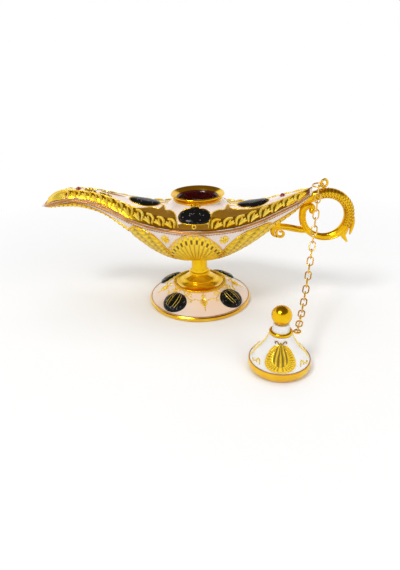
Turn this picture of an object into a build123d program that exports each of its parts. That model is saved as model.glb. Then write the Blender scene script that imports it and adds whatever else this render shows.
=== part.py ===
from build123d import *
import math
import os

# Genie lamp on a round foot: a boat-shaped body of two cast shells, a flared mouth, a scroll
# handle, and a bell lid that stands beside the lamp on its chain.
# Millimetres, +Z up, +X towards the handle. The origin is the centre of the foot's underside.

# Foot: a hollow cone with an upright band
FOOT_RADIUS = 35.0
FOOT_BAND = 3.0
FOOT_EDGE = 0.6
FOOT_LAND_RADIUS = 18.6
FOOT_LAND_Z = 12.6
FOOT_WALL = 2.2

# Stem: a turned piece from the foot's land to the bowl
STEM_HEIGHT = 18.7
STEM_NECK_RADIUS = 5.3
STEM_RING_RADIUS = 7.2
STEM_DISC_RADIUS = 10.8
STEM_DISH_RADIUS = 16.2
STEM_DISH_EDGE = 1.2
STEM_COVE = 1.2
STEM_DISC_Z = 3.3
STEM_DISC_HALF = 0.7
STEM_RING_Z = 7.9
STEM_RING_HALF = 0.9
STEM_WAIST_RADIUS = 5.7
STEM_NECK_Z = 9.7

# Bead ring round the stem's dish
BEAD_RING_RADIUS = 17.4
BEAD_WIRE = 2.0

# Tie rod that draws foot, stem and bowl together
TIE_RADIUS = 2.0
TIE_NUT_FLATS = 7.0
TIE_NUT_HEIGHT = 3.2
TIE_WASHER_RADIUS = 4.5
TIE_WASHER_THICKNESS = 0.8
TIE_TAIL = 1.0

# Body: half-width, depth and rise at the waist, reach of the spout and of the tail
SPOUT_REACH = 103.5
TAIL_REACH = 72.0
HALF_WIDTH = 31.0
BOWL_DEPTH = 30.0
DECK_RISE = 6.5
SPOUT_LIFT = 13.0
TAIL_LIFT = 16.0
WALL = 1.8
RIM_PROUD = 0.8
RIM_BAND = 2.2
BOSS_RADIUS = 6.4
BOSS_HEIGHT = 3.6
HOLLOW_FROM = -0.88
HOLLOW_TO = 0.82

# Outlines of the body: (place along the spout or the tail, share of the waist's size)
PLAN = [(-1.0, 0.07), (-0.95, 0.165), (-0.86, 0.228), (-0.7, 0.245), (-0.56, 0.33), (-0.42, 0.535),
        (-0.27, 0.765), (-0.12, 0.95), (0.0, 1.0), (0.17, 0.955), (0.39, 0.76), (0.58, 0.52),
        (0.75, 0.31), (0.89, 0.18), (1.0, 0.085)]
RIM_LINE = [(-1.0, 0.49), (-0.89, 0.82), (-0.77, 1.0), (-0.67, 0.885), (-0.54, 0.54), (-0.41, 0.225),
            (-0.27, 0.06), (0.0, 0.0), (0.39, 0.04), (0.58, 0.2), (0.75, 0.45), (0.89, 0.68), (1.0, 1.0)]
DEPTH = [(-1.0, 0.03), (-0.92, 0.145), (-0.79, 0.247), (-0.67, 0.275), (-0.59, 0.285), (-0.48, 0.415),
         (-0.37, 0.6), (-0.26, 0.82), (-0.13, 0.96), (0.0, 1.0), (0.19, 0.927), (0.37, 0.765),
         (0.55, 0.567), (0.65, 0.46), (0.78, 0.35), (0.9, 0.215), (1.0, 0.06)]
RISE = [(-1.0, 0.08), (-0.95, 0.4), (-0.91, 0.63), (-0.84, 0.66), (-0.75, 0.6), (-0.65, 0.8),
        (-0.52, 1.09), (-0.4, 1.14), (-0.3, 1.1), (-0.22, 1.0), (0.0, 1.0), (0.35, 0.98),
        (0.49, 0.92), (0.63, 0.88), (0.75, 0.85), (0.89, 0.7), (1.0, 0.3)]
STATIONS = [-1.0, -0.955, -0.91, -0.85, -0.77, -0.68, -0.58, -0.48, -0.38, -0.27, -0.135, 0.0,
            0.19, 0.38, 0.55, 0.69, 0.8, 0.9, 1.0]

# Dome of the deck and the flared mouth on it
MOUTH_RADIUS = 17.3
MOUTH_THROAT_RADIUS = 12.4
MOUTH_RISE = 14.8
MOUTH_FLARE = 3.4
MOUTH_LIP = 0.8
MOUTH_COVE = 0.3
MOUTH_FUNNEL = 1.6
MOUTH_SPIGOT_WALL = 0.8
MOUTH_SPIGOT_LENGTH = 5.0
MOUTH_SEAT = 1.2
DOME_SLOPE = 36.0
DOME_RADIUS = 28.0

# Handle: a round ring with an inward curl, a brace that ends in a volute, and a leaf
RING_CENTRE_X = 81.9
RING_RADIUS = 14.6
RING_BELOW_RIM = 0.2
RING_TOP_STROKE = 3.3
RING_SIDE_STROKE = 3.1
RING_LOW_STROKE = 2.3
CURL_STROKE = 1.3
CURL_RADIUS = 4.2
CURL_TURN = 30.0
CURL_BALL = 2.1
TANG_STROKE = 2.4
TANG_ANGLE = 112.0
TANG_LENGTH = 12.0
RING_STROKES = [(0.0, TANG_STROKE), (0.12, RING_TOP_STROKE), (0.2, RING_TOP_STROKE), (0.3, RING_TOP_STROKE),
                (0.4, RING_TOP_STROKE), (0.5, RING_SIDE_STROKE), (0.66, RING_LOW_STROKE),
                (0.85, RING_LOW_STROKE), (1.0, CURL_STROKE)]
BRACE_STROKE = 2.0
BRACE_STROKES = [(0.0, BRACE_STROKE), (0.6, BRACE_STROKE), (1.0, CURL_STROKE)]
BRACE_ANGLE = 224.0
BRACE_X = 52.0
BRACE_SETBACK = 0.4
VOLUTE_RADIUS = 3.2
VOLUTE_BALL = 2.3
LEAF_LENGTH = 9.0
LEAF_ANGLE = -45.0
LEAF_SWEEP = 12.0

# Pin through the tail and the handle's tenon, and the screw that holds the brace
TENON_FROM = 5.0
TENON_RADIUS = 1.5
TENON_LENGTH = 12.0
PIN_RADIUS = 0.7
PIN_LENGTH = 10.0
PIN_PLACE = 0.75
SCREW_RADIUS = 1.0
SCREW_HEAD_RADIUS = 2.0
SCREW_HEAD_HEIGHT = 1.2
SCREW_BITE = 2.6
SCREW_PAD_RADIUS = 2.7
SCREW_FLOOR = 3.6

# Lid that stands on the table beside the lamp
LID_X = 50.8
LID_Y = -78.6
LID_RADIUS = 17.3
LID_RING_Z = 21.4
LID_RING_RADIUS = 6.4
LID_RING_HEIGHT = 2.0
LID_NECK_RADIUS = 4.9
LID_TOP_RADIUS = 4.3
LID_TOP_Z = 27.4
LID_WALL = 1.7
BALL_RADIUS = 5.55
BALL_Z = 32.2
STUD_RADIUS = 1.5
STUD_LENGTH = 5.0

# Outlines of the lid's bell: (share of its rim's radius, share of its ring's height)
LID_BELL = [(0.96, 0.27), (0.862, 0.365), (0.795, 0.444), (0.63, 0.593), (0.515, 0.73),
            (0.416, 0.87), (0.36, 1.0)]
LID_HOLLOW = [(0.35, 0.93), (0.425, 0.83), (0.6, 0.61), (0.8, 0.444), (0.9, 0.3),
              (0.96, 0.136), (0.908, 0.0)]

# Chain, its end rings and eyes
LINK_LENGTH = 6.8
LINK_WIDTH = 4.2
LINK_WIRE = 0.85
LINK_PLAY = 0.1
LINK_ROLLS = (90.0, 0.0)
CHAIN_SPARE = 0.11
BOW_LIMIT = 80.0
BOW_STEPS = 60
TOP_RING_RADIUS = 3.4
TOP_RING_WIRE = 0.9
TOP_RING_HOOK = 65.0
TOP_RING_DIP = 8.0
LUG_X = 79.3
LUG_RADIUS = 2.3
LUG_WIRE = 1.5
LUG_LIFT = 0.15
LUG_SHANK = 3.0
LUG_TURN = 25.0
EYE_RADIUS = 1.7
EYE_WIRE = 1.0
EYE_STANDOFF = 0.15
EYE_TURN = 0.0
EYE_SHANK = 1.0

# Black medallions on the deck and the foot, red stones on the ridge
MEDALLION_WIDTH = 20.0
MEDALLION_HEIGHT = 14.6
MEDALLION_PROUD = 1.3
MEDALLION_GAP = 0.6
LOBE_MIDDLE = 0.3
LOBE_SIDE = 0.26
LOBE_HEIGHT = 0.44
RIDGE_MEDALLION_HEIGHT = 13.6
FRONT_MEDALLION_REACH = 19.4
SPOUT_MEDALLION_X = -34.5
TAIL_MEDALLION_X = 35.5
FOOT_MEDALLIONS = 4
FOOT_MEDALLION_WIDTH = 18.6
FOOT_MEDALLION_HEIGHT = 15.8
FOOT_MEDALLION_RADIUS = 27.0
FOOT_TURN = 11.5
GEM_RADIUS = 1.6
SPOUT_GEM_X = -78.0
TAIL_GEM_X = 54.0

# Clearance of pins, rods and spigots in their holes
FIT = 0.06

STEM_TOP_Z = FOOT_LAND_Z + STEM_HEIGHT
RIM_Z = STEM_TOP_Z + BOWL_DEPTH
MOUTH_Z = RIM_Z + MOUTH_RISE
SEAT_Z = MOUTH_Z - MOUTH_FLARE
SPIGOT_RADIUS = MOUTH_THROAT_RADIUS + MOUTH_SPIGOT_WALL
DECK_HOLE_RADIUS = SPIGOT_RADIUS + FIT
TIE_HOLE_RADIUS = TIE_RADIUS + FIT
FOOT_CEILING_Z = FOOT_LAND_Z - FOOT_WALL
LINK_PITCH = LINK_LENGTH - 2 * LINK_WIRE - LINK_PLAY
RING_CENTRE_Z = RIM_Z - RING_BELOW_RIM
EYE_REACH = LID_RING_RADIUS + EYE_RADIUS + EYE_WIRE / 2 + EYE_STANDOFF
UP = Vector(0, 0, 1)
SIDE = Vector(0, 1, 0)
EVEN_SPLIT = 0.5


def save(node, shape):
    """Write one named piece."""
    export_step(shape, f"parts/{node}.step")


def smooth(outline, place):
    """Value at a place on a smooth curve through an outline's points."""
    last = len(outline) - 1

    def slope(i):
        before, after = outline[max(i - 1, 0)], outline[min(i + 1, last)]
        return (after[1] - before[1]) / (after[0] - before[0])

    i = next((k for k in range(1, last) if outline[k][0] > place), last)
    (x0, y0), (x1, y1) = outline[i - 1], outline[i]
    span = x1 - x0
    t = (place - x0) / span
    rest = 1 - t
    return (y0 * (1 + 2 * t) * rest * rest + slope(i - 1) * span * t * rest * rest
            + y1 * (3 - 2 * t) * t * t - slope(i) * span * rest * t * t)


def reach(place):
    """X of a place along the spout (below 0) or the tail (above 0)."""
    return place * (SPOUT_REACH if place < 0 else TAIL_REACH)


def place_at(x):
    """Place along the spout or the tail of an X."""
    return x / (SPOUT_REACH if x < 0 else TAIL_REACH)


def rim_height(place):
    """Z of the body's rim."""
    return RIM_Z + smooth(RIM_LINE, place) * (SPOUT_LIFT if place < 0 else TAIL_LIFT)


def ridge_height(x):
    """Z of the deck on the body's centre line."""
    place = place_at(x)
    return rim_height(place) + DECK_RISE * smooth(RISE, place)


def keel_height(x):
    """Z of the bowl's underside on the body's centre line."""
    place = place_at(x)
    return rim_height(place) - BOWL_DEPTH * smooth(DEPTH, place)


def lens_section(place, grow):
    """Cross-section of the body: a low arc over the rim and a half ellipse under it."""
    width = HALF_WIDTH * smooth(PLAN, place) + grow
    rise = DECK_RISE * smooth(RISE, place) + grow
    depth = BOWL_DEPTH * smooth(DEPTH, place) + grow
    over = ThreePointArc((width, 0), (0, rise), (-width, 0))
    under = EllipticalCenterArc((0, 0), width, depth, 180, arc_size=180)
    level = Plane((reach(place), 0, rim_height(place)), x_dir=SIDE, z_dir=(1, 0, 0))
    return level * make_face([over, under])


def lens(grow, stations):
    """The whole body as a closed boat, larger all round by grow."""
    return loft([lens_section(place, grow) for place in stations])


def dome(grow):
    """The cone under the mouth, larger all round by grow."""
    top = SEAT_Z + grow
    land = DECK_HOLE_RADIUS + MOUTH_SEAT + grow
    fall = (DOME_RADIUS - land) * math.tan(math.radians(DOME_SLOPE))
    outline = Polyline((0, RIM_Z), (0, top), (land, top), (DOME_RADIUS, top - fall),
                       (DOME_RADIUS, RIM_Z), (0, RIM_Z))
    return turned(outline)


def turned(outline):
    """Solid of revolution about Z of a closed outline drawn as (radius, height)."""
    return revolve(Plane.XZ * make_face(outline), Axis.Z)


def above_rim():
    """Everything over the seam between deck and bowl."""
    seam = [(reach(place), rim_height(place)) for place in STATIONS]
    (x0, z0), (x1, z1) = seam[0], seam[-1]
    ceiling = MOUTH_Z + SPOUT_LIFT + TAIL_LIFT
    first, last = (x0 - HALF_WIDTH, z0), (x1 + HALF_WIDTH, z1)
    outline = [Line(first, seam[0]), Spline(seam), Line(seam[-1], last),
               Line(last, (last[0], ceiling)), Line((last[0], ceiling), (first[0], ceiling)),
               Line((first[0], ceiling), first)]
    return extrude(Plane.XZ * make_face(outline), 2 * HALF_WIDTH, both=True)


def bowl_section(place):
    """Cross-section of the bowl: a half ellipse with the rim's moulding standing proud at its top."""
    width = HALF_WIDTH * smooth(PLAN, place)
    depth = BOWL_DEPTH * smooth(DEPTH, place)
    band = min(RIM_BAND, depth * EVEN_SPLIT)
    turn = math.asin(band / depth)
    tuck = width * math.cos(turn)
    edge = width + RIM_PROUD
    under = EllipticalCenterArc((0, 0), width, depth, 180 + math.degrees(turn),
                                arc_size=180 - 2 * math.degrees(turn))
    over = Polyline((tuck, -band), (edge, -band), (edge, band), (-edge, band), (-edge, -band), (-tuck, -band))
    level = Plane((reach(place), 0, rim_height(place)), x_dir=SIDE, z_dir=(1, 0, 0))
    return level * make_face([under, over])


def stroke(path, widths):
    """A round stroke along a path, with a radius at each (share of the path, radius)."""
    sections = [(path ^ share) * Circle(radius) for share, radius in widths]
    return sweep(sections, path=path, multisection=True)


def ball(x, z, radius):
    """A ball on the body's centre plane."""
    return Pos(x, 0, z) * Sphere(radius)


def ring_point(angle):
    """A point on the handle ring's centre line, as (x, z)."""
    turn = math.radians(angle)
    return (RING_CENTRE_X + RING_RADIUS * math.cos(turn), RING_CENTRE_Z + RING_RADIUS * math.sin(turn))


def in_plane(curves):
    """Curves drawn as (x, z), placed on the body's centre plane as one path."""
    return Plane.XZ * Wire(curves)


def lobed(width, height):
    """Outline of a medallion: a middle lobe between two side lobes."""
    side = Ellipse(width * LOBE_SIDE, height * LOBE_HEIGHT)
    out = width * (EVEN_SPLIT - LOBE_SIDE)
    return Ellipse(width * LOBE_MIDDLE, height * EVEN_SPLIT) + Pos(-out, 0) * side + Pos(out, 0) * side


def loop(radius, wire):
    """A round wire ring in its own XY plane."""
    return Torus(radius, wire * EVEN_SPLIT)


def chain_link():
    """One oval link along its own X, in its own XY plane."""
    bend = (LINK_WIDTH - LINK_WIRE) * EVEN_SPLIT
    run = (LINK_LENGTH - LINK_WIDTH) * EVEN_SPLIT
    track = Wire([
        Line((-run, -bend), (run, -bend)),
        ThreePointArc((run, -bend), (run + bend, 0), (run, bend)),
        Line((run, bend), (-run, bend)),
        ThreePointArc((-run, bend), (-run - bend, 0), (-run, -bend)),
    ])
    return sweep((track ^ 0) * Circle(LINK_WIRE * EVEN_SPLIT), path=track)


def make_foot():
    """Hollow cone with an upright band, bored for the tie rod."""
    slope = (FOOT_LAND_Z - FOOT_BAND) / (FOOT_RADIUS - FOOT_LAND_RADIUS)
    inner = FOOT_RADIUS - FOOT_WALL
    ceiling = FOOT_CEILING_Z
    inner_land = inner - ceiling / slope
    outline = Polyline((TIE_HOLE_RADIUS, FOOT_LAND_Z), (FOOT_LAND_RADIUS, FOOT_LAND_Z),
                       (FOOT_RADIUS - FOOT_EDGE, FOOT_BAND), (FOOT_RADIUS, FOOT_BAND - FOOT_EDGE),
                       (FOOT_RADIUS, FOOT_EDGE), (FOOT_RADIUS - FOOT_EDGE, 0), (inner, 0),
                       (inner_land, ceiling), (TIE_HOLE_RADIUS, ceiling), (TIE_HOLE_RADIUS, FOOT_LAND_Z))
    return turned(outline)


def make_stem():
    """Turned stem: a dish on the foot, a disc, a ring and a plain neck, bored for the tie rod."""
    low, top = FOOT_LAND_Z, STEM_TOP_Z
    dish = low + STEM_DISH_EDGE
    disc = low + STEM_DISC_Z
    ring = low + STEM_RING_Z
    edge = STEM_DISC_RADIUS - STEM_DISC_HALF
    waist = STEM_WAIST_RADIUS
    outline = [
        Polyline((TIE_HOLE_RADIUS, top), (TIE_HOLE_RADIUS, low), (STEM_DISH_RADIUS, low),
                 (STEM_DISH_RADIUS, dish)),
        Spline((STEM_DISH_RADIUS, dish), (STEM_DISC_RADIUS + STEM_COVE, dish), (edge, disc - STEM_DISC_HALF)),
        ThreePointArc((edge, disc - STEM_DISC_HALF), (STEM_DISC_RADIUS, disc), (edge, disc + STEM_DISC_HALF)),
        Spline((edge, disc + STEM_DISC_HALF), (STEM_RING_RADIUS, EVEN_SPLIT * (disc + ring)),
               (waist, ring - STEM_RING_HALF)),
        ThreePointArc((waist, ring - STEM_RING_HALF), (STEM_RING_RADIUS, ring),
                      (waist, ring + STEM_RING_HALF)),
        Polyline((waist, ring + STEM_RING_HALF), (STEM_NECK_RADIUS, low + STEM_NECK_Z),
                 (STEM_NECK_RADIUS, top), (TIE_HOLE_RADIUS, top)),
    ]
    return turned(outline)


def make_bead_ring():
    """Beaded wire round the stem's dish, flattened where it lies on the foot."""
    half = BEAD_WIRE * EVEN_SPLIT
    ring = Pos(0, 0, FOOT_LAND_Z + half * EVEN_SPLIT) * Torus(BEAD_RING_RADIUS, half)
    land = Cylinder(FOOT_RADIUS, BEAD_WIRE, align=(Align.CENTER, Align.CENTER, Align.MAX))
    return ring - Pos(0, 0, FOOT_LAND_Z) * land


def tie_nut(z):
    """Hexagon nut on the tie rod, standing on z."""
    blank = extrude(RegularPolygon(TIE_NUT_FLATS * EVEN_SPLIT, 6, major_radius=False), TIE_NUT_HEIGHT)
    return Pos(0, 0, z) * (blank - Cylinder(TIE_HOLE_RADIUS, 2 * TIE_NUT_HEIGHT))


def tie_washer(z):
    """Plain washer on the tie rod, standing on z."""
    outline = Rectangle(TIE_WASHER_RADIUS - TIE_HOLE_RADIUS, TIE_WASHER_THICKNESS, align=Align.MIN)
    return revolve(Plane.XZ * Pos(TIE_HOLE_RADIUS, z) * outline, Axis.Z)


def make_tie():
    """The tie rod, its two washers and its two nuts."""
    boss_top = STEM_TOP_Z + BOSS_HEIGHT
    upper_nut = boss_top + TIE_WASHER_THICKNESS
    lower_washer = FOOT_CEILING_Z - TIE_WASHER_THICKNESS
    lower_nut = lower_washer - TIE_NUT_HEIGHT
    low = lower_nut - TIE_TAIL
    high = upper_nut + TIE_NUT_HEIGHT + TIE_TAIL
    rod = Pos(0, 0, low) * Cylinder(TIE_RADIUS, high - low, align=(Align.CENTER, Align.CENTER, Align.MIN))
    save("tie_rod", rod)
    save("tie_washers", Compound(children=[tie_washer(boss_top), tie_washer(lower_washer)]))
    save("tie_nuts", Compound(children=[tie_nut(upper_nut), tie_nut(lower_nut)]))


def make_collar():
    """Flared mouth: a funnel with a rolled lip, a shoulder on the dome and a spigot in its hole."""
    throat, lip = MOUTH_THROAT_RADIUS, MOUTH_RADIUS
    shoulder = DECK_HOLE_RADIUS + MOUTH_SEAT
    foot = SEAT_Z - MOUTH_SPIGOT_LENGTH
    middle = SEAT_Z + MOUTH_FLARE * EVEN_SPLIT
    rolled = MOUTH_Z - MOUTH_LIP
    bend = MOUTH_LIP * (1 - math.cos(math.radians(45)))
    outline = [
        Polyline((throat, SEAT_Z), (throat, foot), (SPIGOT_RADIUS, foot), (SPIGOT_RADIUS, SEAT_Z),
                 (shoulder, SEAT_Z)),
        Spline((shoulder, SEAT_Z), (shoulder + MOUTH_COVE, middle), (lip, rolled)),
        ThreePointArc((lip, rolled), (lip - bend, MOUTH_Z - bend), (lip - MOUTH_LIP, MOUTH_Z)),
        Spline((lip - MOUTH_LIP, MOUTH_Z), (throat + MOUTH_FUNNEL, middle), (throat, SEAT_Z)),
    ]
    return turned(outline)


def make_body(outer):
    """The deck and the bowl: two shells that meet on the rim's seam."""
    hollow = lens(-WALL, [place for place in STATIONS if HOLLOW_FROM <= place <= HOLLOW_TO])
    over = above_rim()
    cavity = dome(-WALL) & over
    hole = Pos(0, 0, MOUTH_Z) * Cylinder(DECK_HOLE_RADIUS, 2 * MOUTH_RISE)
    deck = (outer & over) + (dome(0) & over) - hollow - cavity - hole
    bowl = loft([bowl_section(place) for place in STATIONS]) - over - hollow
    boss = Cylinder(BOSS_RADIUS, BOSS_HEIGHT, align=(Align.CENTER, Align.CENTER, Align.MIN))
    tie_hole = Cylinder(TIE_HOLE_RADIUS, 4 * BOSS_HEIGHT)
    bowl = bowl + Pos(0, 0, STEM_TOP_Z) * boss - Pos(0, 0, STEM_TOP_Z) * tie_hole
    seat = keel_height(BRACE_X)
    inside = lens(-WALL * EVEN_SPLIT, [place for place in STATIONS if HOLLOW_FROM <= place])
    pad = screw_axis(seat, SCREW_PAD_RADIUS, SCREW_FLOOR) & inside
    above_pad = screw_axis(seat + SCREW_FLOOR, SCREW_PAD_RADIUS, BOWL_DEPTH) - over
    bowl = bowl + pad - above_pad - screw_axis(seat - SCREW_BITE, SCREW_RADIUS + FIT, BOWL_DEPTH)
    bowl = bowl - tenon(TENON_RADIUS + FIT, TENON_LENGTH + FIT)
    return deck, bowl - cross_pin(PIN_RADIUS + FIT, HALF_WIDTH)


def handle_ring():
    """Ring from the tail's tang, over the top, round and up the near side into the inward curl."""
    leave, heading = tang_frame()
    start = leave + heading * TANG_LENGTH
    near = ring_point(180)
    curl = (near[0] + CURL_RADIUS, near[1] + CURL_RADIUS * EVEN_SPLIT)
    crown = (curl[0], curl[1] + CURL_RADIUS)
    tip = CURL_RADIUS * EVEN_SPLIT
    turn = math.radians(CURL_TURN)
    over = (crown[0] + tip * math.cos(turn), crown[1] - tip + tip * math.sin(turn))
    end = (over[0], crown[1] - tip - tip * math.sin(turn))
    bend = CURL_RADIUS * (1 - math.cos(math.radians(45)))
    path = in_plane([
        Line((start.X, start.Z), (leave.X, leave.Z)),
        CenterArc((RING_CENTRE_X, RING_CENTRE_Z), RING_RADIUS, TANG_ANGLE, arc_size=-180 - TANG_ANGLE),
        Line(near, (near[0], curl[1])),
        ThreePointArc((near[0], curl[1]), (near[0] + bend, crown[1] - bend), crown),
        ThreePointArc(crown, over, end),
    ])
    return stroke(path, RING_STROKES) + ball(*end, CURL_BALL)


def handle_brace():
    """Arm from the ring's foot to the bowl's underside, rolled into a volute with a ball."""
    top = (BRACE_X, keel_height(BRACE_X) - BRACE_SETBACK - BRACE_STROKE)
    low = (BRACE_X, top[1] - 2 * VOLUTE_RADIUS)
    left = (BRACE_X - VOLUTE_RADIUS, top[1] - VOLUTE_RADIUS)
    path = in_plane([
        Spline(ring_point(BRACE_ANGLE), top, tangents=[(-1, 0), (-1, 0)]),
        ThreePointArc(top, left, low),
    ])
    return stroke(path, BRACE_STROKES) + ball(BRACE_X, low[1] + VOLUTE_BALL * EVEN_SPLIT, VOLUTE_BALL)


def tang_frame():
    """Where the handle's tang points into the tail: its start and its direction."""
    leave = ring_point(TANG_ANGLE)
    slant = math.radians(TANG_ANGLE - 90)
    heading = Vector(-math.cos(slant), 0, -math.sin(slant))
    return Vector(leave[0], 0, leave[1]), heading


def tenon(radius, length):
    """Round tenon on the tang's axis that enters the tail."""
    origin, heading = tang_frame()
    level = Plane(origin + heading * TENON_FROM, x_dir=SIDE, z_dir=heading)
    return level * Cylinder(radius, length, align=(Align.CENTER, Align.CENTER, Align.MIN))


def cross_pin(radius, length):
    """Round bar across the tail and the tenon."""
    origin, heading = tang_frame()
    middle = origin + heading * (TENON_FROM + TENON_LENGTH * PIN_PLACE)
    return Plane(middle, x_dir=heading, z_dir=SIDE) * Cylinder(radius, length)


def screw_axis(z, radius, height):
    """A round bar on the brace screw's axis, standing on z."""
    return Pos(BRACE_X, 0, z) * Cylinder(radius, height, align=(Align.CENTER, Align.CENTER, Align.MIN))


def make_handle(outer, bowl):
    """One casting: ring, curl, brace, leaf and tenon, seated on the tail and under the bowl."""
    x, z = ring_point(LEAF_ANGLE)
    heading = math.radians(LEAF_ANGLE - LEAF_SWEEP)
    tip = (x + LEAF_LENGTH * math.cos(heading), z + LEAF_LENGTH * math.sin(heading))
    leaf = stroke(in_plane([Line((x, z), tip)]), [(0.0, RING_LOW_STROKE), (1.0, CURL_STROKE * EVEN_SPLIT)])
    seat = keel_height(BRACE_X)
    post = screw_axis(seat - BRACE_STROKE - BRACE_SETBACK, BRACE_STROKE, 2 * BRACE_STROKE)
    casting = handle_ring() + handle_brace() + leaf + post - outer - bowl
    casting = casting + tenon(TENON_RADIUS, TENON_LENGTH)
    bite = screw_axis(seat - SCREW_BITE, SCREW_RADIUS + FIT, 2 * SCREW_BITE)
    lug = lug_centre()
    shank = Pos(lug.X, 0, lug.Z - LUG_RADIUS) * Cylinder(LUG_WIRE * EVEN_SPLIT + FIT, 2 * LUG_SHANK)
    return casting - bite - shank - cross_pin(PIN_RADIUS + FIT, HALF_WIDTH)


def make_brace_screw():
    """Screw from inside the bowl into the brace."""
    seat = keel_height(BRACE_X)
    return screw_axis(seat - SCREW_BITE, SCREW_RADIUS, SCREW_FLOOR + SCREW_BITE) \
        + screw_axis(seat + SCREW_FLOOR, SCREW_HEAD_RADIUS, SCREW_HEAD_HEIGHT)


def lug_centre():
    """Centre of the chain lug's eye, over the handle's top."""
    along = LUG_X - RING_CENTRE_X
    crown = RING_CENTRE_Z + math.sqrt((RING_RADIUS + RING_TOP_STROKE) ** 2 - along ** 2)
    return Vector(LUG_X, 0, crown + LUG_LIFT + LUG_RADIUS + LUG_WIRE * EVEN_SPLIT)


def make_lug():
    """Screw eye on the handle's top, turned to the side that the chain hangs on."""
    centre = lug_centre()
    eye = Plane(centre, x_dir=UP, z_dir=SIDE.rotate(Axis.Z, LUG_TURN)) * loop(LUG_RADIUS, LUG_WIRE)
    shank = Pos(centre.X, 0, centre.Z - LUG_RADIUS) * Cylinder(
        LUG_WIRE * EVEN_SPLIT, LUG_SHANK, align=(Align.CENTER, Align.CENTER, Align.MAX))
    return eye + shank


def top_ring_frame():
    """Centre and plane of the jump ring that hangs from the lug and dips towards the spout."""
    dip = math.radians(TOP_RING_DIP)
    away = Vector(-math.cos(dip), 0, -math.sin(dip)).rotate(Axis.Z, LUG_TURN)
    hang = LUG_RADIUS - (LUG_WIRE + TOP_RING_WIRE) * EVEN_SPLIT - LINK_PLAY
    near = lug_centre() + away * hang
    return Plane(near + away * TOP_RING_RADIUS, x_dir=away,
                 z_dir=SIDE.rotate(Axis.Z, LUG_TURN).cross(away))


def eye_heading():
    """The way that the lid's eye points, level and away from the lid's axis."""
    turn = math.radians(EYE_TURN)
    return Vector(math.cos(turn), math.sin(turn), 0)


def lid_eye_centre():
    """Centre of the eye on the lid's ring."""
    return Vector(LID_X, LID_Y, LID_RING_Z + LID_RING_HEIGHT * EVEN_SPLIT) + eye_heading() * EYE_REACH


def chain_joints():
    """Points where the chain's links bear on each other, and the chain's side axis.

    The links hang in one upright plane and turn evenly from one end to the other.
    """
    ring = top_ring_frame()
    hook = math.radians(TOP_RING_HOOK)
    wire = ring.from_local_coords(
        (TOP_RING_RADIUS * math.cos(hook), TOP_RING_RADIUS * math.sin(hook), 0))
    eye = lid_eye_centre()
    level = Vector(eye.X - wire.X, eye.Y - wire.Y, 0).normalized()
    start = wire + UP * (TOP_RING_WIRE + LINK_PLAY) * EVEN_SPLIT
    end = eye - level * (EYE_RADIUS - (EYE_WIRE + LINK_PLAY) * EVEN_SPLIT)
    chord = end - start
    along = chord.normalized()
    side = along.cross(-UP).normalized()
    sag = side.cross(along)
    # An odd count stands both end links upright, across the level ring and the level eye.
    pairs = round((chord.length * (1 + CHAIN_SPARE) / LINK_PITCH - 1) * EVEN_SPLIT)
    count = 2 * pairs + 1

    def angles(bow):
        return [bow * (1 - 2 * i / (count - 1)) for i in range(count)]

    slack, tight = 0.0, math.radians(BOW_LIMIT)
    for _ in range(BOW_STEPS):
        bow = EVEN_SPLIT * (slack + tight)
        span = LINK_PITCH * sum(math.cos(angle) for angle in angles(bow))
        slack, tight = (bow, tight) if span > chord.length else (slack, bow)
    points = [start]
    for angle in angles(bow):
        points.append(points[-1] + (along * math.cos(angle) + sag * math.sin(angle)) * LINK_PITCH)
    return points, side


def make_chain():
    """The jump ring on the lug and the links that hang from it to the lid's eye."""
    save("top_ring", top_ring_frame() * loop(TOP_RING_RADIUS, TOP_RING_WIRE))
    points, side = chain_joints()
    for i in range(1, len(points)):
        along = (points[i] - points[i - 1]).normalized()
        roll = LINK_ROLLS[i % 2]
        face = Plane((points[i] + points[i - 1]) * EVEN_SPLIT, x_dir=along, z_dir=side)
        save(f"chain_link_{i:02d}", face * (Rot(X=roll) * chain_link()))


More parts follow.
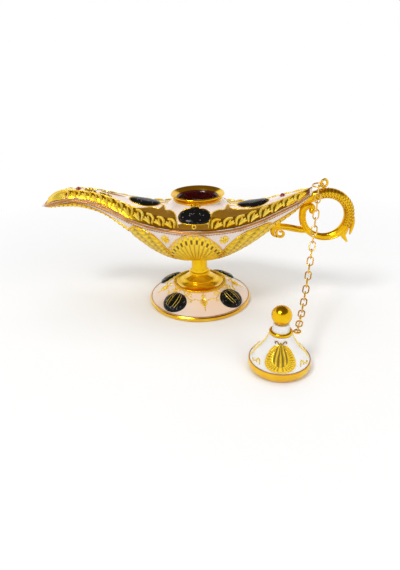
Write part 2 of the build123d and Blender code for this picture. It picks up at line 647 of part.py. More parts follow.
def make_lid():
    """Hollow bell on a rounded band, its ring, the finial and the eye for the chain."""
    hollow = [(share * LID_RADIUS - LID_WALL, height * LID_RING_Z) for share, height in LID_HOLLOW]
    skin = [(share * LID_RADIUS, height * LID_RING_Z) for share, height in LID_BELL]
    stud_hole = STUD_RADIUS + FIT
    base = (hollow[-1][0] + LID_WALL, 0)
    ring_top = LID_RING_Z + LID_RING_HEIGHT
    bell = [
        Polyline((stud_hole, LID_TOP_Z), (stud_hole, hollow[0][1]), hollow[0]),
        Spline(hollow),
        Line(hollow[-1], base),
        ThreePointArc(base, (LID_RADIUS, skin[0][1] * EVEN_SPLIT), skin[0]),
        Spline(skin),
        Polyline(skin[-1], (LID_NECK_RADIUS, LID_RING_Z), (LID_NECK_RADIUS, ring_top),
                 (LID_TOP_RADIUS, LID_TOP_Z), (stud_hole, LID_TOP_Z)),
    ]
    stand = Pos(LID_X, LID_Y, 0)
    save("lid_bell", stand * turned(bell))
    half = LID_RING_HEIGHT * EVEN_SPLIT
    bore = LID_NECK_RADIUS + FIT
    edge = LID_RING_RADIUS - half
    ring = [
        Polyline((edge, ring_top), (bore, ring_top), (bore, LID_RING_Z), (edge, LID_RING_Z)),
        ThreePointArc((edge, LID_RING_Z), (LID_RING_RADIUS, LID_RING_Z + half), (edge, ring_top)),
    ]
    eye, outward = lid_eye_centre(), eye_heading()
    root = LID_RING_RADIUS - EYE_SHANK
    level = Plane(eye - outward * (EYE_REACH - root), x_dir=UP, z_dir=outward)
    upright = (Align.CENTER, Align.CENTER, Align.MIN)
    socket = level * Cylinder(EYE_WIRE * EVEN_SPLIT + FIT, 2 * EYE_SHANK, align=upright)
    save("lid_ring", stand * turned(ring) - socket)
    shank = level * Cylinder(EYE_WIRE * EVEN_SPLIT, EYE_REACH - root - EYE_RADIUS, align=upright)
    save("lid_eye", shank + Pos(eye) * loop(EYE_RADIUS, EYE_WIRE))
    stud = Pos(0, 0, LID_TOP_Z) * Cylinder(STUD_RADIUS, 2 * STUD_LENGTH)
    seat = Cylinder(LID_RADIUS, BALL_RADIUS, align=(Align.CENTER, Align.CENTER, Align.MAX))
    save("finial", stand * (Pos(0, 0, BALL_Z) * Sphere(BALL_RADIUS) - Pos(0, 0, LID_TOP_Z) * seat + stud))


def between(prism, proud, under):
    """The part of a prism that stands on one skin and reaches up to another."""
    return (prism & proud) - under


def make_deck_medallions(outer):
    """Black medallions on the dome's front and back and on the ridge to spout and tail."""
    under = outer + dome(0)
    proud = lens(MEDALLION_PROUD, STATIONS) + dome(MEDALLION_PROUD)
    fall = (FRONT_MEDALLION_REACH - DECK_HOLE_RADIUS - MOUTH_SEAT) * math.tan(math.radians(DOME_SLOPE))
    tilt = math.radians(DOME_SLOPE)
    mouth = Pos(0, 0, MOUTH_Z) * Cylinder(DECK_HOLE_RADIUS + MOUTH_SEAT + MEDALLION_GAP, 2 * MOUTH_RISE)
    for node, way in (("deck_medallion_front", -1), ("deck_medallion_back", 1)):
        seat = Plane((0, way * FRONT_MEDALLION_REACH, SEAT_Z - fall), x_dir=(-way, 0, 0),
                     z_dir=(0, way * math.sin(tilt), math.cos(tilt)))
        prism = extrude(seat * lobed(MEDALLION_WIDTH, MEDALLION_HEIGHT), 4 * MEDALLION_PROUD, both=True)
        save(node, between(prism, proud, under) - mouth)
    for node, x in (("deck_medallion_spout", SPOUT_MEDALLION_X), ("deck_medallion_tail", TAIL_MEDALLION_X)):
        seat = Plane((x, 0, ridge_height(x)), x_dir=(1, 0, 0), z_dir=UP)
        prism = extrude(seat * lobed(MEDALLION_WIDTH, RIDGE_MEDALLION_HEIGHT), 4 * MEDALLION_PROUD, both=True)
        save(node, between(prism, proud, under))
    gems = [ball(x, ridge_height(x), GEM_RADIUS) - under for x in (SPOUT_GEM_X, TAIL_GEM_X)]
    save("ridge_gems", Compound(children=gems))


def foot_cone(grow):
    """The foot's cone as a filled solid, larger by grow square to its slope."""
    low = Vector(FOOT_RADIUS - FOOT_EDGE, FOOT_BAND)
    high = Vector(FOOT_LAND_RADIUS, FOOT_LAND_Z)
    slope = (high - low).normalized()
    out = Vector(slope.Y, -slope.X) * grow
    low, high = low + out, high + out
    return turned(Polyline((0, 0), (low.X, 0), (low.X, low.Y), (high.X, high.Y), (0, high.Y), (0, 0)))


def make_foot_medallions():
    """Ribbed black ovals spaced evenly round the foot's cone."""
    slope = math.atan2(FOOT_LAND_Z - FOOT_BAND, FOOT_RADIUS - FOOT_EDGE - FOOT_LAND_RADIUS)
    z = FOOT_LAND_Z - (FOOT_MEDALLION_RADIUS - FOOT_LAND_RADIUS) * math.tan(slope)
    proud, under = foot_cone(MEDALLION_PROUD), foot_cone(0)
    ovals = []
    for i in range(FOOT_MEDALLIONS):
        turn = math.radians(FOOT_TURN + 360 * (i + EVEN_SPLIT) / FOOT_MEDALLIONS)
        out = Vector(math.cos(turn), math.sin(turn), 0)
        seat = Plane(out * FOOT_MEDALLION_RADIUS + UP * z, x_dir=(-out.Y, out.X, 0),
                     z_dir=out * math.sin(slope) + UP * math.cos(slope))
        oval = seat * lobed(FOOT_MEDALLION_WIDTH, FOOT_MEDALLION_HEIGHT)
        ovals.append(between(extrude(oval, 4 * MEDALLION_PROUD, both=True), proud, under))
    save("foot_medallions", Compound(children=ovals))


def main():
    """Build and write every piece."""
    os.makedirs("parts", exist_ok=True)
    save("foot", make_foot())
    save("bead_ring", make_bead_ring())
    save("stem", make_stem())
    make_tie()
    outer = lens(0, STATIONS)
    deck, bowl = make_body(outer)
    save("deck", deck)
    save("bowl", bowl)
    save("mouth_collar", make_collar())
    save("handle", make_handle(outer, bowl))
    save("handle_pin", cross_pin(PIN_RADIUS, PIN_LENGTH))
    save("brace_screw", make_brace_screw())
    save("chain_lug", make_lug())
    make_chain()
    make_lid()
    make_deck_medallions(outer)
    make_foot_medallions()


if __name__ == "__main__":
    main()
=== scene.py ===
"""Dresses the genie lamp: enamel, gilt, raised ornament, and a pale stage."""

import math
from functools import partial

import bpy
from bpy.props import FloatProperty, FloatVectorProperty, IntProperty, PointerProperty
from bpy.types import NodeSocket, Operator, Panel, PropertyGroup
from mathutils import Matrix, Vector
from mathutils.bvhtree import BVHTree


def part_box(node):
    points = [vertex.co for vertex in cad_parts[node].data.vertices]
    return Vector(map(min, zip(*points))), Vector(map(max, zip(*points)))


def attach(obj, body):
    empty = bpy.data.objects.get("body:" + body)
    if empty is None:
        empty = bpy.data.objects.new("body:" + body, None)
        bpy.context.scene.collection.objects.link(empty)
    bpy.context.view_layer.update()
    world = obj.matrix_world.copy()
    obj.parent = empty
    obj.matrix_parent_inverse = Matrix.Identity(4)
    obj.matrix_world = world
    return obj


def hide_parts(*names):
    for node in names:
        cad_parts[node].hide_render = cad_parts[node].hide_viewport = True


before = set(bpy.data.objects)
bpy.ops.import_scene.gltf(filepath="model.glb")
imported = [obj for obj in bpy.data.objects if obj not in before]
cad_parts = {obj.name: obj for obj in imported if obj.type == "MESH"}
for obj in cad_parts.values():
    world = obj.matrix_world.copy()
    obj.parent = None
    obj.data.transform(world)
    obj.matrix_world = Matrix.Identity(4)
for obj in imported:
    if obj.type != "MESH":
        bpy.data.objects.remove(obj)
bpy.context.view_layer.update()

bl_info = {
    "name": "Genie lamp",
    "version": (1, 0, 0),
    "blender": (4, 5, 0),
    "location": "View3D > Sidebar > Genie Lamp",
    "description": "Enamel, gilt and raised ornament for a genie lamp",
    "category": "Object",
}

# Lengths are in millimetres and angles in degrees, except on the stage, which is in metres
MM = 0.001
FRONT, BACK = -1, 1
SIDES = (FRONT, BACK)
DOWN = Vector((0, 0, -1))
ALONG = Vector((1, 0, 0))
ACROSS = Vector((0, 1, 0))

# How high or how far off a line of sight starts
FROM_ABOVE = 120.0
RIM_SIGHT = 15.0
BOWL_SIGHT = 80.0
LID_SIGHT = 40.0
HANDLE_SIGHT = 30.0
MEDALLION_SIGHT = 30.0
BOSS_SIGHT = 20.0

# Rim of the body: (x, height) and (x, half-width)
RIM = [(-103.5, 67.7), (-92, 72), (-80, 74.3), (-70, 72.8), (-56, 68.3), (-43, 64.2), (-28, 62.1),
       (0, 61.3), (28, 61.9), (42, 64.5), (54, 68.5), (64, 72.2), (72, 77.3)]
HALF_WIDTH = [(-103.5, 2.2), (-98.3, 5.1), (-89, 7.1), (-72.5, 7.6), (-58, 10.2), (-43.5, 16.6),
              (-28, 23.7), (-12.4, 29.5), (0, 31), (12.2, 29.6), (28, 23.6), (41.8, 16.1), (54, 9.6),
              (64, 5.6), (72, 2.6)]
RIM_INSET = 1.5
RIM_DROP = 1.0
BOWL_DROP = 0.6

# Band, bead and rope of the rim
RIM_FIRST = RIM[0][0] + 2.5
RIM_LAST = RIM[-1][0] - 1.5
RIM_STEPS = 160
BAND_FROM = -25
BAND_SWEEP = 137
BAND_RISE = 0.1
BEAD_ANGLE = 96
ROPE_DROP = 2.9
ROPE_REACH = 0.4
ROPE_RISE = 0.45
ROPE_END = 6.0
CORD_SHARE = 0.8
RIM_WALL = 0.3

# Upper edges of the gilt panels on the deck: (x, share of the way from ridge to rim)
SPOUT_PANEL = [(-99, 0.12), (-92, 0.16), (-84, 0.26), (-76, 0.36), (-66, 0.4), (-56, 0.44), (-47, 0.5),
               (-38, 0.53), (-33, 0.42), (-29.5, 0.33), (-26, 0.33), (-23.8, 0.33), (-22.6, 0.2),
               (-21.6, 0.1), (-20.8, 0.22), (-19.6, 0.36), (-16, 0.46), (-12.6, 0.6), (-10.9, 0.78),
               (-9.6, 0.94)]
TAIL_PANEL = [(8.6, 0.94), (9.3, 0.72), (10.9, 0.58), (14, 0.48), (17.4, 0.4), (18.6, 0.22), (19.4, 0.1),
              (20.4, 0.18), (22, 0.27), (26, 0.33), (30, 0.38), (36, 0.44), (43, 0.47), (48, 0.48),
              (55, 0.46), (61, 0.4), (66, 0.3), (69.5, 0.2)]
PANEL_FOOT = 0.99
PANEL_RISE = 0.12
PANEL_WALL = 0.4
PATCH_WALL = 0.3
TIP_ENDS = (-99, -85)

# Each panel's edge, the ends of its leaf band and the ends of its plain part
PANELS = ((SPOUT_PANEL, (-85, -9.6), (-52, -9.6)), (TAIL_PANEL, (8.6, 69.5), (8.6, 52)))

# Strip and ring under the front medallion, fine lines beside the dome, and patches along the ridge
STRIP_FROM = (-11.5, 0.85)
STRIP_SIZE = (22.5, 0.14)
RING_SHARE = 0.915
RING_SIZE = (1.1, 0.036)
DOME_LINES = ((-31.5, -21.6), (28.5, 19.4))
RIDGE_PATCHES = ((-75, -66, 0.8), (-63, -47, 1.4))

# Leaf scrolls: upper limit by distance from the middle, rows by (start, end, lean), and one leaf's
# strokes by shares of its step and height
LEAF_TOPS = [(8, 0.73), (24, 0.7), (36, 0.62), (46, 0.54), (56, 0.4), (104, 0.2)]
LEAF_ROWS = ((SPOUT_PANEL, -90.0, -12.0, 1), (TAIL_PANEL, 10.5, 69.0, -1))
LEAF_FOOT = 0.965
LEAF_HIGHEST = 0.34
LEAF_WEIGHT = 1.3
LEAF_ARCH = [(0.3, 1.0), (0.72, 0.94), (0.98, 0.6), (0.96, 0.08)]
LEAF_ROOT = (0.74, 0.05)
LEAF_TIPS = ((0.1, 0.3), (0.2, 0.58), (0.48, 0.76))

# Upper edges of the gilt fans and keel bands on the bowl: (x, degrees up from the keel)
SPOUT_FAN = [(-43.5, 58), (-42, 70), (-39.3, 79), (-34, 80), (-27.4, 78), (-22.2, 70), (-17.8, 57),
             (-14.5, 36), (-11.5, 12)]
TAIL_FAN = [(11.5, 12), (15, 38), (18.9, 60), (24.9, 72), (30.2, 78), (37, 77), (43.8, 74), (46.5, 66),
            (48, 56)]
SPOUT_KEEL = [(-99, 58), (-92, 66), (-82, 66), (-70, 60), (-58, 58), (-43, 60)]
TAIL_KEEL = [(47.5, 58), (54, 54), (62, 50), (67, 46)]
FAN_WALL = 0.7
KEEL_WALL = 0.5
FAN_SINK = -0.1
FAN_SWEEP = 118
FAN_SEAT = 27
FAN_MIDDLE = 40
FAN_TALL = 46
FAN_EDGE_TALL = 46.5
FAN_LOWEST = 4.0
FAN_HOLES = (0.79, 0.89)
FAN_SLOT = (0.1, 0.15)
FAN_REACH = 18.0
FAN_EDGE_REACH = 18.2
FAN_HUB = 10.0
KEEL_BEAD_PITCH = 3.1
KEEL_BEAD_DROP = 9
ROSETTE_X = 18.2
ROSETTE_ANGLE = 75.5
PETALS = 8

# Edge of the front medallion: (degrees round from its level, distance from its middle)
CLOUD = [(-90, 7.2), (-72, 7.5), (-53, 8.4), (-38, 9.4), (-24, 10.1), (-8, 10.3), (8, 9.9), (20, 9.0),
         (32, 8.0), (44, 6.9), (52, 5.9), (57, 5.7), (64, 6.1), (74, 6.2), (82, 5.9), (90, 6.1)]
CLOUD_Y = 20.9
CLOUD_SLOPE = 36
OVAL_SIZE = (10.2, 7.0)
RIDGE_OVALS = {"deck_medallion_spout": -34.5, "deck_medallion_tail": 35.5}
BOSS_SIZE = (8.9, 7.7)
BOSS_RADIUS = 26.9
BOSS_SLOPE = 31
BOSS_RISE = 1.7
BOSS_FLUTES = 0.3
BOSS_SINK = 0.25
BOSS_WALL = 0.5
VEIN_LEANS = (-0.5, -0.25, 0.0, 0.25, 0.5)
VEIN_STEPS = 12

# Foot: turn of its first flower, and lines to each side of a flower by (degrees, radius)
FOOT_FLOWER = -79.0
FOOT_REPEATS = 4
FOOT_BAND_TOP = 3.05
FOOT_LINE_RADIUS = 34.0
BEAD_RING_RADIUS = 17.4
FLOWER_STALK = [(0, 18.9), (0, 22.0)]
FLOWER_DROP = [(0.4, 26.8), (0.6, 28.4), (0.3, 30.2)]
FLOWER_CROWN = [(0, 21.6), (2.2, 20.6), (3.6, 19.8)]
FLOWER_PETAL = [(0, 26.9), (3.4, 25.4), (3.2, 23.4), (0, 22.2)]
FOOT_SWAG = [(4, 24.0), (11, 23.0), (18, 23.2), (25, 25.6)]
FOOT_STEM = [(24, 19.2), (29, 20.4), (33, 21.6)]
FOOT_SPRIG = [(58, 20.2), (64, 22.4), (69, 23.2), (70, 25.2)]
FOOT_LEAVES = ((26, 19.6), (30, 20.0), (33, 21.4), (22, 20.2), (37, 19.7), (61, 20.4), (66, 21.9))

# Lid: turn of its first face, and lines to each side of a face by (degrees, height)
LID_FACE = -92.0
LID_BAND_TOP = 5.6
LID_WALL = 0.5
LID_LINE_Z = 5.7
PLATE_Z = 12.2
PLATE_REACH = 38
PLATE_RISE = 5.8
PLATE_TEETH = 34
PLATE_BEADS = 26
BEAD_SHARE = 0.78
ONION_Z = 12.6
ONION_REACH = 20
ONION_TOP = 7.0
ONION_FOOT = 4.0
LID_STEM = [(2, 16.8), (6, 18.0), (12, 19.2), (20, 19.8), (26, 19.2), (21, 18.6)]
LID_SCROLL = [(45, 7.4), (50, 9.0), (56, 9.2), (59, 8.0), (54, 7.6)]
LID_TAIL = [(59, 8.1), (66, 7.0), (73, 7.4)]
LID_RIB = [(90, 6.2), (90, 9.0), (90, 13.0), (90, 17.0), (90, 21.0)]

# Handle: middle of its ring as (x, z), its brace, and leaves by (degrees, radius) from that middle
RING_MIDDLE = (81.9, 61.1)
RING_RIDGES = (13.4, 15.8)
BRACE = [(54.0, 53.4), (60.0, 53.0), (66.0, 51.6), (70.5, 51.0)]
BRACE_HALF = 0.75
SCALE_ROWS = ((13.2, 4.5, 0.0), (15.3, 4.5, 3.0), (17.0, 3.5, 0.0))
SCALES = 20
SCALE_START = 116
SCALE_STEP = 7.5
SCALE_HALF = 0.9
VOLUTE_MIDDLE = (54.2, 48.5)
VOLUTE_STEPS = 22
VOLUTE_RADIUS = 3.4
VOLUTE_SHRINK = 0.11
HANDLE_LEAVES = ([(14, 16.0), (0, 16.9), (-14, 18.0), (-28, 19.4), (-38, 21.0)],
                 [(-20, 16.0), (-34, 17.0), (-46, 18.4), (-52, 20.0)])

# Mouth: bead on the dome and petals of a bud by (x, distance from the middle)
MOUTH_BEAD_RADIUS = 15.2
MOUTH_BEAD_Z = 72.4
BUD_SIGHT = 74
BUD_PETAL = [(0.6, 14.6), (2.6, 15.4), (1.6, 16.6)]

# Painted shade in the mouth: dark red within the throat and its flare, below its lip
THROAT_RADIUS = 12.9
FLARE_Z = 72.7
FLARE_RADIUS = 12.6
FLARE_SLOPE = 1.16
SHADE_BELOW = 73.9

# Finish of each CAD piece by the start of its name, where the first that fits counts; the rest is gilt
NODE_FINISHES = {
    "tie_": "plain steel", "brace_screw": "plain steel", "handle_pin": "plain steel",
    "chain_link": "chain wire", "top_ring": "chain wire", "deck_medallion": "black enamel",
    "foot_medallion": "black enamel", "deck": "white enamel", "bowl": "white enamel",
    "foot": "foot enamel", "lid_bell": "lid enamel", "mouth_collar": "mouth gilt and shade", "ridge_gems": "stone",
}
ENAMEL = {"metallic": 0.0, "grain": 1500, "bump": 0.015, "coat": 0.6}
POLISHED = {"metallic": 1.0, "smooth": 0.16, "rough": 0.3}
COAT_ROUGHNESS = 0.06
# Pale colour of the enamel's glitter flakes, painted bright to stand for their glints
GLINT_FLAKE = (0.75, 0.72, 0.66, 1)
STEEL, DEEP_STEEL = (0.55, 0.54, 0.52), (0.42, 0.41, 0.4)
PAPER, DEEP_PAPER = (0.9, 0.9, 0.9), (0.88, 0.88, 0.88)

# Stage, in metres: lights as (name, place, size, share of the key's power)
FLOOR_RADIUS = 3.0
WALL_RADIUS = 2.9
WALL_HEIGHT = 1.8
ROUND_STEPS = 64
FADE = (0.1, 0.3)
LIGHTS = (("key", (-0.4, -0.5, 0.95), 0.3, 1.0), ("fill", (0.75, -0.6, 0.6), 0.7, 0.7),
          ("top", (0.05, 0.3, 1.1), 0.9, 0.9))
LIGHT_AIM = Vector((0, 0, 0.04))
ROOM_GREY = (0.42, 0.42, 0.42, 1)
ROOM_GLOSS = (0.15, 0.105, 0.07, 1)
SENSOR_HEIGHT = 36
NEAREST_SEEN = 0.01


def between(table, x):
    """Value of a table of (x, value) at x, by straight lines."""
    for (x0, y0), (x1, y1) in zip(table, table[1:]):
        if x <= x1:
            return y0 + (y1 - y0) * max(0.0, (x - x0) / (x1 - x0))
    return table[-1][1]


def curve_through(points, count):
    """A smooth run of count points through the given points."""
    points = [Vector(p) for p in points]
    last = len(points) - 1
    run = []
    for step in range(count):
        place = step / (count - 1) * last
        i = min(int(place), last - 1)
        t = place - i
        before, here = points[max(i - 1, 0)], points[i]
        there, after = points[i + 1], points[min(i + 2, last)]
        run.append(0.5 * (2 * here + (there - before) * t
                          + (2 * before - 5 * here + 4 * there - after) * t * t
                          + (3 * here - before - 3 * there + after) * t * t * t))
    return run


def polar(radius, degrees):
    """Level and upright reach of a point at a radius and an angle."""
    turn = math.radians(degrees)
    return radius * math.cos(turn), radius * math.sin(turn)


def swung(points, way):
    """Points with their first number turned to one way of the middle."""
    return [(way * a, b) for a, b in points]


class Skin:
    """Outer faces of some of the lamp's pieces, for ornament to lie on."""

    def __init__(self, *nodes):
        verts, faces = [], []
        for node in nodes:
            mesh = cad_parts[node].data
            start = len(verts)
            verts += [v.co.copy() for v in mesh.vertices]
            faces += [[start + i for i in p.vertices] for p in mesh.polygons]
        self.tree = BVHTree.FromPolygons(verts, faces)

    def meet(self, start, heading):
        """Point and outward normal where a line meets the faces; start and result in millimetres."""
        heading = Vector(heading).normalized()
        hit, normal, _, _ = self.tree.ray_cast(Vector(start) * MM, heading)
        if hit is None:
            hit, normal, _, _ = self.tree.find_nearest(Vector(start) * MM)
        if normal.dot(heading) > 0:
            normal = -normal
        return hit / MM, normal

    def under(self, x, y, z=FROM_ABOVE):
        """Point straight below a place."""
        return self.meet((x, y, z), DOWN)

    def facing(self, seat, along, up, look, far, a, b):
        """Point that lies a along and b up from a seat, seen straight along look."""
        return self.meet(seat + along * a + up * b - look * far, look)


DECK = Skin("deck")
BOWL = Skin("bowl")
FOOT = Skin("foot")
LID = Skin("lid_bell")
HANDLE = Skin("handle")
RIM_SHELL = Skin("deck", "bowl")
LID_LOW, LID_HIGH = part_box("lid_bell")
LID_AXIS = Vector((0.5 * (LID_LOW.x + LID_HIGH.x), 0.5 * (LID_LOW.y + LID_HIGH.y), 0)) / MM


def on_deck(x, share, side):
    """Deck point at x, a share of the way from ridge to rim on one side."""
    return DECK.under(x, side * share * between(HALF_WIDTH, x))


def on_rim(x, degrees, side):
    """Rim point at x on one side, some degrees round the moulding from its top."""
    turn = math.radians(degrees)
    out = Vector((0, side * math.sin(turn), math.cos(turn)))
    wide = between(HALF_WIDTH, x)
    heart = Vector((x, side * (wide - min(RIM_INSET, 0.5 * wide)), between(RIM, x) - RIM_DROP))
    return RIM_SHELL.meet(heart + out * RIM_SIGHT, -out)


def on_bowl(x, degrees, side):
    """Bowl point at x, some degrees up from the keel on one side."""
    turn = math.radians(degrees)
    out = Vector((0, side * math.sin(turn), -math.cos(turn)))
    return BOWL.meet(Vector((x, 0, between(RIM, x) - BOWL_DROP)) + out * BOWL_SIGHT, -out)


def below_rim(x, drop, side):
    """Bowl point at x on one side, some millimetres below the rim."""
    return on_bowl(x, 90 - math.degrees(math.atan2(drop - BOWL_DROP, between(HALF_WIDTH, x))), side)


def on_foot(degrees, radius):
    """Foot point at an angle and a radius."""
    return FOOT.under(*polar(radius, degrees))


def on_lid(degrees, height):
    """Lid point at an angle and a height."""
    out = Vector((*polar(1, degrees), 0))
    return LID.meet(LID_AXIS + out * LID_SIGHT + Vector((0, 0, height)), -out)


def on_handle(x, z, side):
    """Handle point at x and z on one side."""
    return HANDLE.meet((x, side * HANDLE_SIGHT, z), (0, -side, 0))


def raised(spot, height):
    """A spot moved off its surface, in metres."""
    point, normal = spot
    return (point + normal * height) * MM


def fresh_start():
    """Leave edit mode with nothing selected."""
    if bpy.context.mode != "OBJECT":
        bpy.ops.object.mode_set(mode="OBJECT")
    bpy.ops.object.select_all(action="DESELECT")


def finish_piece(piece, name, finish, body, angle):
    """Name, colour, shade and seat one piece."""
    piece.name = name
    piece.data.name = name
    piece.data.materials.clear()
    piece.data.materials.append(bpy.data.materials[finish])
    fresh_start()
    piece.select_set(True)
    bpy.context.view_layer.objects.active = piece
    bpy.ops.object.shade_smooth_by_angle(angle=math.radians(angle))
    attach(piece, body)
    return piece


def sheet_piece(name, finish, sheets, body="lamp"):
    """Join raised sheets to one finished piece."""
    fresh_start()
    for sheet in sheets:
        sheet.select_set(True)
    bpy.context.view_layer.objects.active = sheets[0]
    if len(sheets) > 1:
        bpy.ops.object.join()
    return finish_piece(sheets[0], name, finish, body, 60)


def line_piece(name, finish, paths, radius, sides=1, body="lamp"):
    """Round lines along paths of (point in metres, share of the radius), as one finished piece."""
    fresh_start()
    line = bpy.data.curves.new("line", "CURVE")
    line.dimensions = "3D"
    line.bevel_depth = radius * MM
    line.bevel_resolution = sides
    line.use_fill_caps = True
    for path in paths:
        spline = line.splines.new("POLY")
        spline.points.add(len(path) - 1)
        for point, (place, share) in zip(spline.points, path):
            point.co = (*place, 1)
            point.radius = share
    piece = bpy.data.objects.new("line", line)
    bpy.context.collection.objects.link(piece)
    piece.select_set(True)
    bpy.context.view_layer.objects.active = piece
    bpy.ops.object.convert(target="MESH")
    return finish_piece(bpy.context.object, name, finish, body, 50)


def relief(columns, rows, wall, place, *given, closed=False):
    """A raised sheet; place(*given, u, v) gives a spot, its height and perhaps an amount of painted shade
    for its recesses.
    """
    fresh_start()
    bpy.ops.mesh.primitive_grid_add(x_subdivisions=columns, y_subdivisions=rows, size=2)
    sheet = bpy.context.object
    ways = []
    # Painted shade: each point's darkness for recesses and slits, kept on the mesh for the carved gold to
    # read
    groove_shade = sheet.data.attributes.new("groove_shade", "FLOAT", "POINT")
    for vert, dark in zip(sheet.data.vertices, groove_shade.data):
        spot, height, *depth = place(*given, (vert.co.x + 1) / 2, (vert.co.y + 1) / 2)
        vert.co = raised(spot, height)
        ways.append(spot[1])
        dark.value = depth[0] if depth else 0.0
    sheet.data.update()
    facing = sum(p.normal.dot(ways[p.vertices[0]]) * p.area for p in sheet.data.polygons)
    bpy.ops.object.mode_set(mode="EDIT")
    bpy.ops.mesh.select_all(action="SELECT")
    if facing < 0:
        bpy.ops.mesh.flip_normals()
    if closed:
        bpy.ops.mesh.remove_doubles(threshold=0.02 * MM)
    bpy.ops.object.mode_set(mode="OBJECT")
    solid = sheet.modifiers.new("wall", "SOLIDIFY")
    solid.thickness = wall * MM
    solid.offset = -1
    bpy.ops.object.modifier_apply(modifier=solid.name)
    return sheet


def drawn(points, count, spot, height, taper=0.0, weight=1.0):
    """A path through points given on a surface; spot(a, b) finds each, and taper thins both ends."""
    path = []
    for i, p in enumerate(curve_through([(*p, 0) for p in points], count)):
        share = weight * (1 - taper * abs(2 * i / (count - 1) - 1) ** 2)
        path.append((raised(spot(p.x, p.y), height), share))
    return path


def circle(spot, height):
    """A closed path of one weight; spot(degrees) finds each point."""
    return [(raised(spot(a), height), 1.0) for a in range(0, 361, 3)]


def dot(spot, size, height):
    """A short upright path that makes a bead of one radius."""
    low, high = raised(spot, height - size), raised(spot, height + size)
    return [(low, 0.55), (low.lerp(high, 0.3), 1.0), (low.lerp(high, 0.65), 1.0), (high, 0.45)]


# Materials

def feed(tree, socket, value):
    """Link a socket to another one, or set it to a value."""
    if isinstance(value, NodeSocket):
        tree.links.new(value, socket)
    else:
        socket.default_value = value


def add_node(tree, kind, inputs=None, **settings):
    """A shader node with its settings made and its inputs fed."""
    node = tree.nodes.new("ShaderNode" + kind)
    for name, value in settings.items():
        setattr(node, name, value)
    for label, value in (inputs or {}).items():
        feed(tree, node.inputs[label], value)
    return node


def maths(tree, operation, *values):
    """Result of one sum of sockets and numbers."""
    return add_node(tree, "Math", dict(enumerate(values)), operation=operation).outputs[0]


def place_on_piece(tree):
    """X, Y and Z of a point of the piece, in millimetres."""
    where = add_node(tree, "TexCoord").outputs["Object"]
    grown = add_node(tree, "Mapping", {"Vector": where, "Scale": (1 / MM, 1 / MM, 1 / MM)})
    return add_node(tree, "SeparateXYZ", {"Vector": grown.outputs["Vector"]}).outputs


def drifting_shade():
    """A group for a colour that drifts between two shades, with a matching roughness and a fine height."""
    group = bpy.data.node_groups.new("Drifting shade", "ShaderNodeTree")
    for label, kind in (("Shade", "Color"), ("Deep shade", "Color"), ("Patch size", "Float"),
                        ("Grain size", "Float"), ("Smooth", "Float"), ("Rough", "Float")):
        group.interface.new_socket(label, in_out="INPUT", socket_type="NodeSocket" + kind)
    for label, kind in (("Color", "Color"), ("Roughness", "Float"), ("Height", "Float")):
        group.interface.new_socket(label, in_out="OUTPUT", socket_type="NodeSocket" + kind)
    ins = group.nodes.new("NodeGroupInput").outputs
    outs = group.nodes.new("NodeGroupOutput").inputs
    where = add_node(group, "TexCoord").outputs["Object"]
    patch = add_node(group, "TexNoise", {"Vector": where, "Scale": ins["Patch size"], "Detail": 4})
    grain = add_node(group, "TexNoise", {"Vector": where, "Scale": ins["Grain size"], "Detail": 2})
    drift = add_node(group, "MapRange", {"Value": patch.outputs["Fac"], "From Min": 0.36, "From Max": 0.66})
    shade = add_node(group, "Mix", {"Factor": drift.outputs["Result"], "A": ins["Shade"],
                                    "B": ins["Deep shade"]}, data_type="RGBA")
    gloss = add_node(group, "MapRange", {"Value": grain.outputs["Fac"], "To Min": ins["Smooth"],
                                         "To Max": ins["Rough"]})
    feed(group, outs["Color"], shade.outputs["Result"])
    feed(group, outs["Roughness"], gloss.outputs["Result"])
    feed(group, outs["Height"], grain.outputs["Fac"])
    return group


def shade_node(tree, shade, deep, smooth, rough, patch=90.0, grain=900.0):
    """Outputs of the drifting shade with values of its own."""
    group = bpy.data.node_groups.get("Drifting shade") or drifting_shade()
    values = {"Shade": (*shade, 1), "Deep shade": (*deep, 1), "Patch size": patch, "Grain size": grain,
              "Smooth": smooth, "Rough": rough}
    return add_node(tree, "Group", values, node_tree=group).outputs


def surface(name, shade, deep, metallic, smooth, rough, patch=90.0, grain=900.0, bump=0.02, coat=0.0):
    """A material of the drifting shade; returns its node tree and its Principled node."""
    finish = bpy.data.materials.new(name)
    finish.use_nodes = True
    tree = finish.node_tree
    shader = tree.nodes["Principled BSDF"]
    drift = shade_node(tree, shade, deep, smooth, rough, patch, grain)
    height = add_node(tree, "Bump", {"Strength": bump, "Distance": MM, "Height": drift["Height"]})
    values = {"Base Color": drift["Color"], "Roughness": drift["Roughness"],
              "Normal": height.outputs["Normal"], "Metallic": metallic, "Coat Weight": coat,
              "Coat Roughness": COAT_ROUGHNESS}
    for label, value in values.items():
        feed(tree, shader.inputs[label], value)
    return tree, shader


def lay_over(tree, socket, factor, value, kind="RGBA"):
    """Mix another value into what a linked socket gets, by a factor."""
    first = socket.links[0].from_socket
    mix = add_node(tree, "Mix", {"Factor": factor, "A": first, "B": value}, data_type=kind)
    feed(tree, socket, mix.outputs["Result"])


def second_finish(tree, shader, mask, shade, deep, metallic, smooth, rough):
    """Give the masked part of a material another drifting shade, metal and gloss."""
    other = shade_node(tree, shade, deep, smooth, rough)
    lay_over(tree, shader.inputs["Base Color"], mask, other["Color"])
    lay_over(tree, shader.inputs["Roughness"], mask, other["Roughness"], "FLOAT")
    metal = shader.inputs["Metallic"]
    blend = add_node(tree, "MapRange", {"Value": mask, "To Min": metal.default_value, "To Max": metallic})
    feed(tree, metal, blend.outputs["Result"])


def scaled(shade, *shares):
    """A colour with its red, green and blue scaled, all by one share or each by its own."""
    return [value * share for value, share in zip(shade, shares * 3)]


# Settings

def colour(name, default, about):
    """A colour a user may change."""
    return FloatVectorProperty(name=name, description=about, subtype="COLOR", size=3, min=0, max=1,
                               default=default)


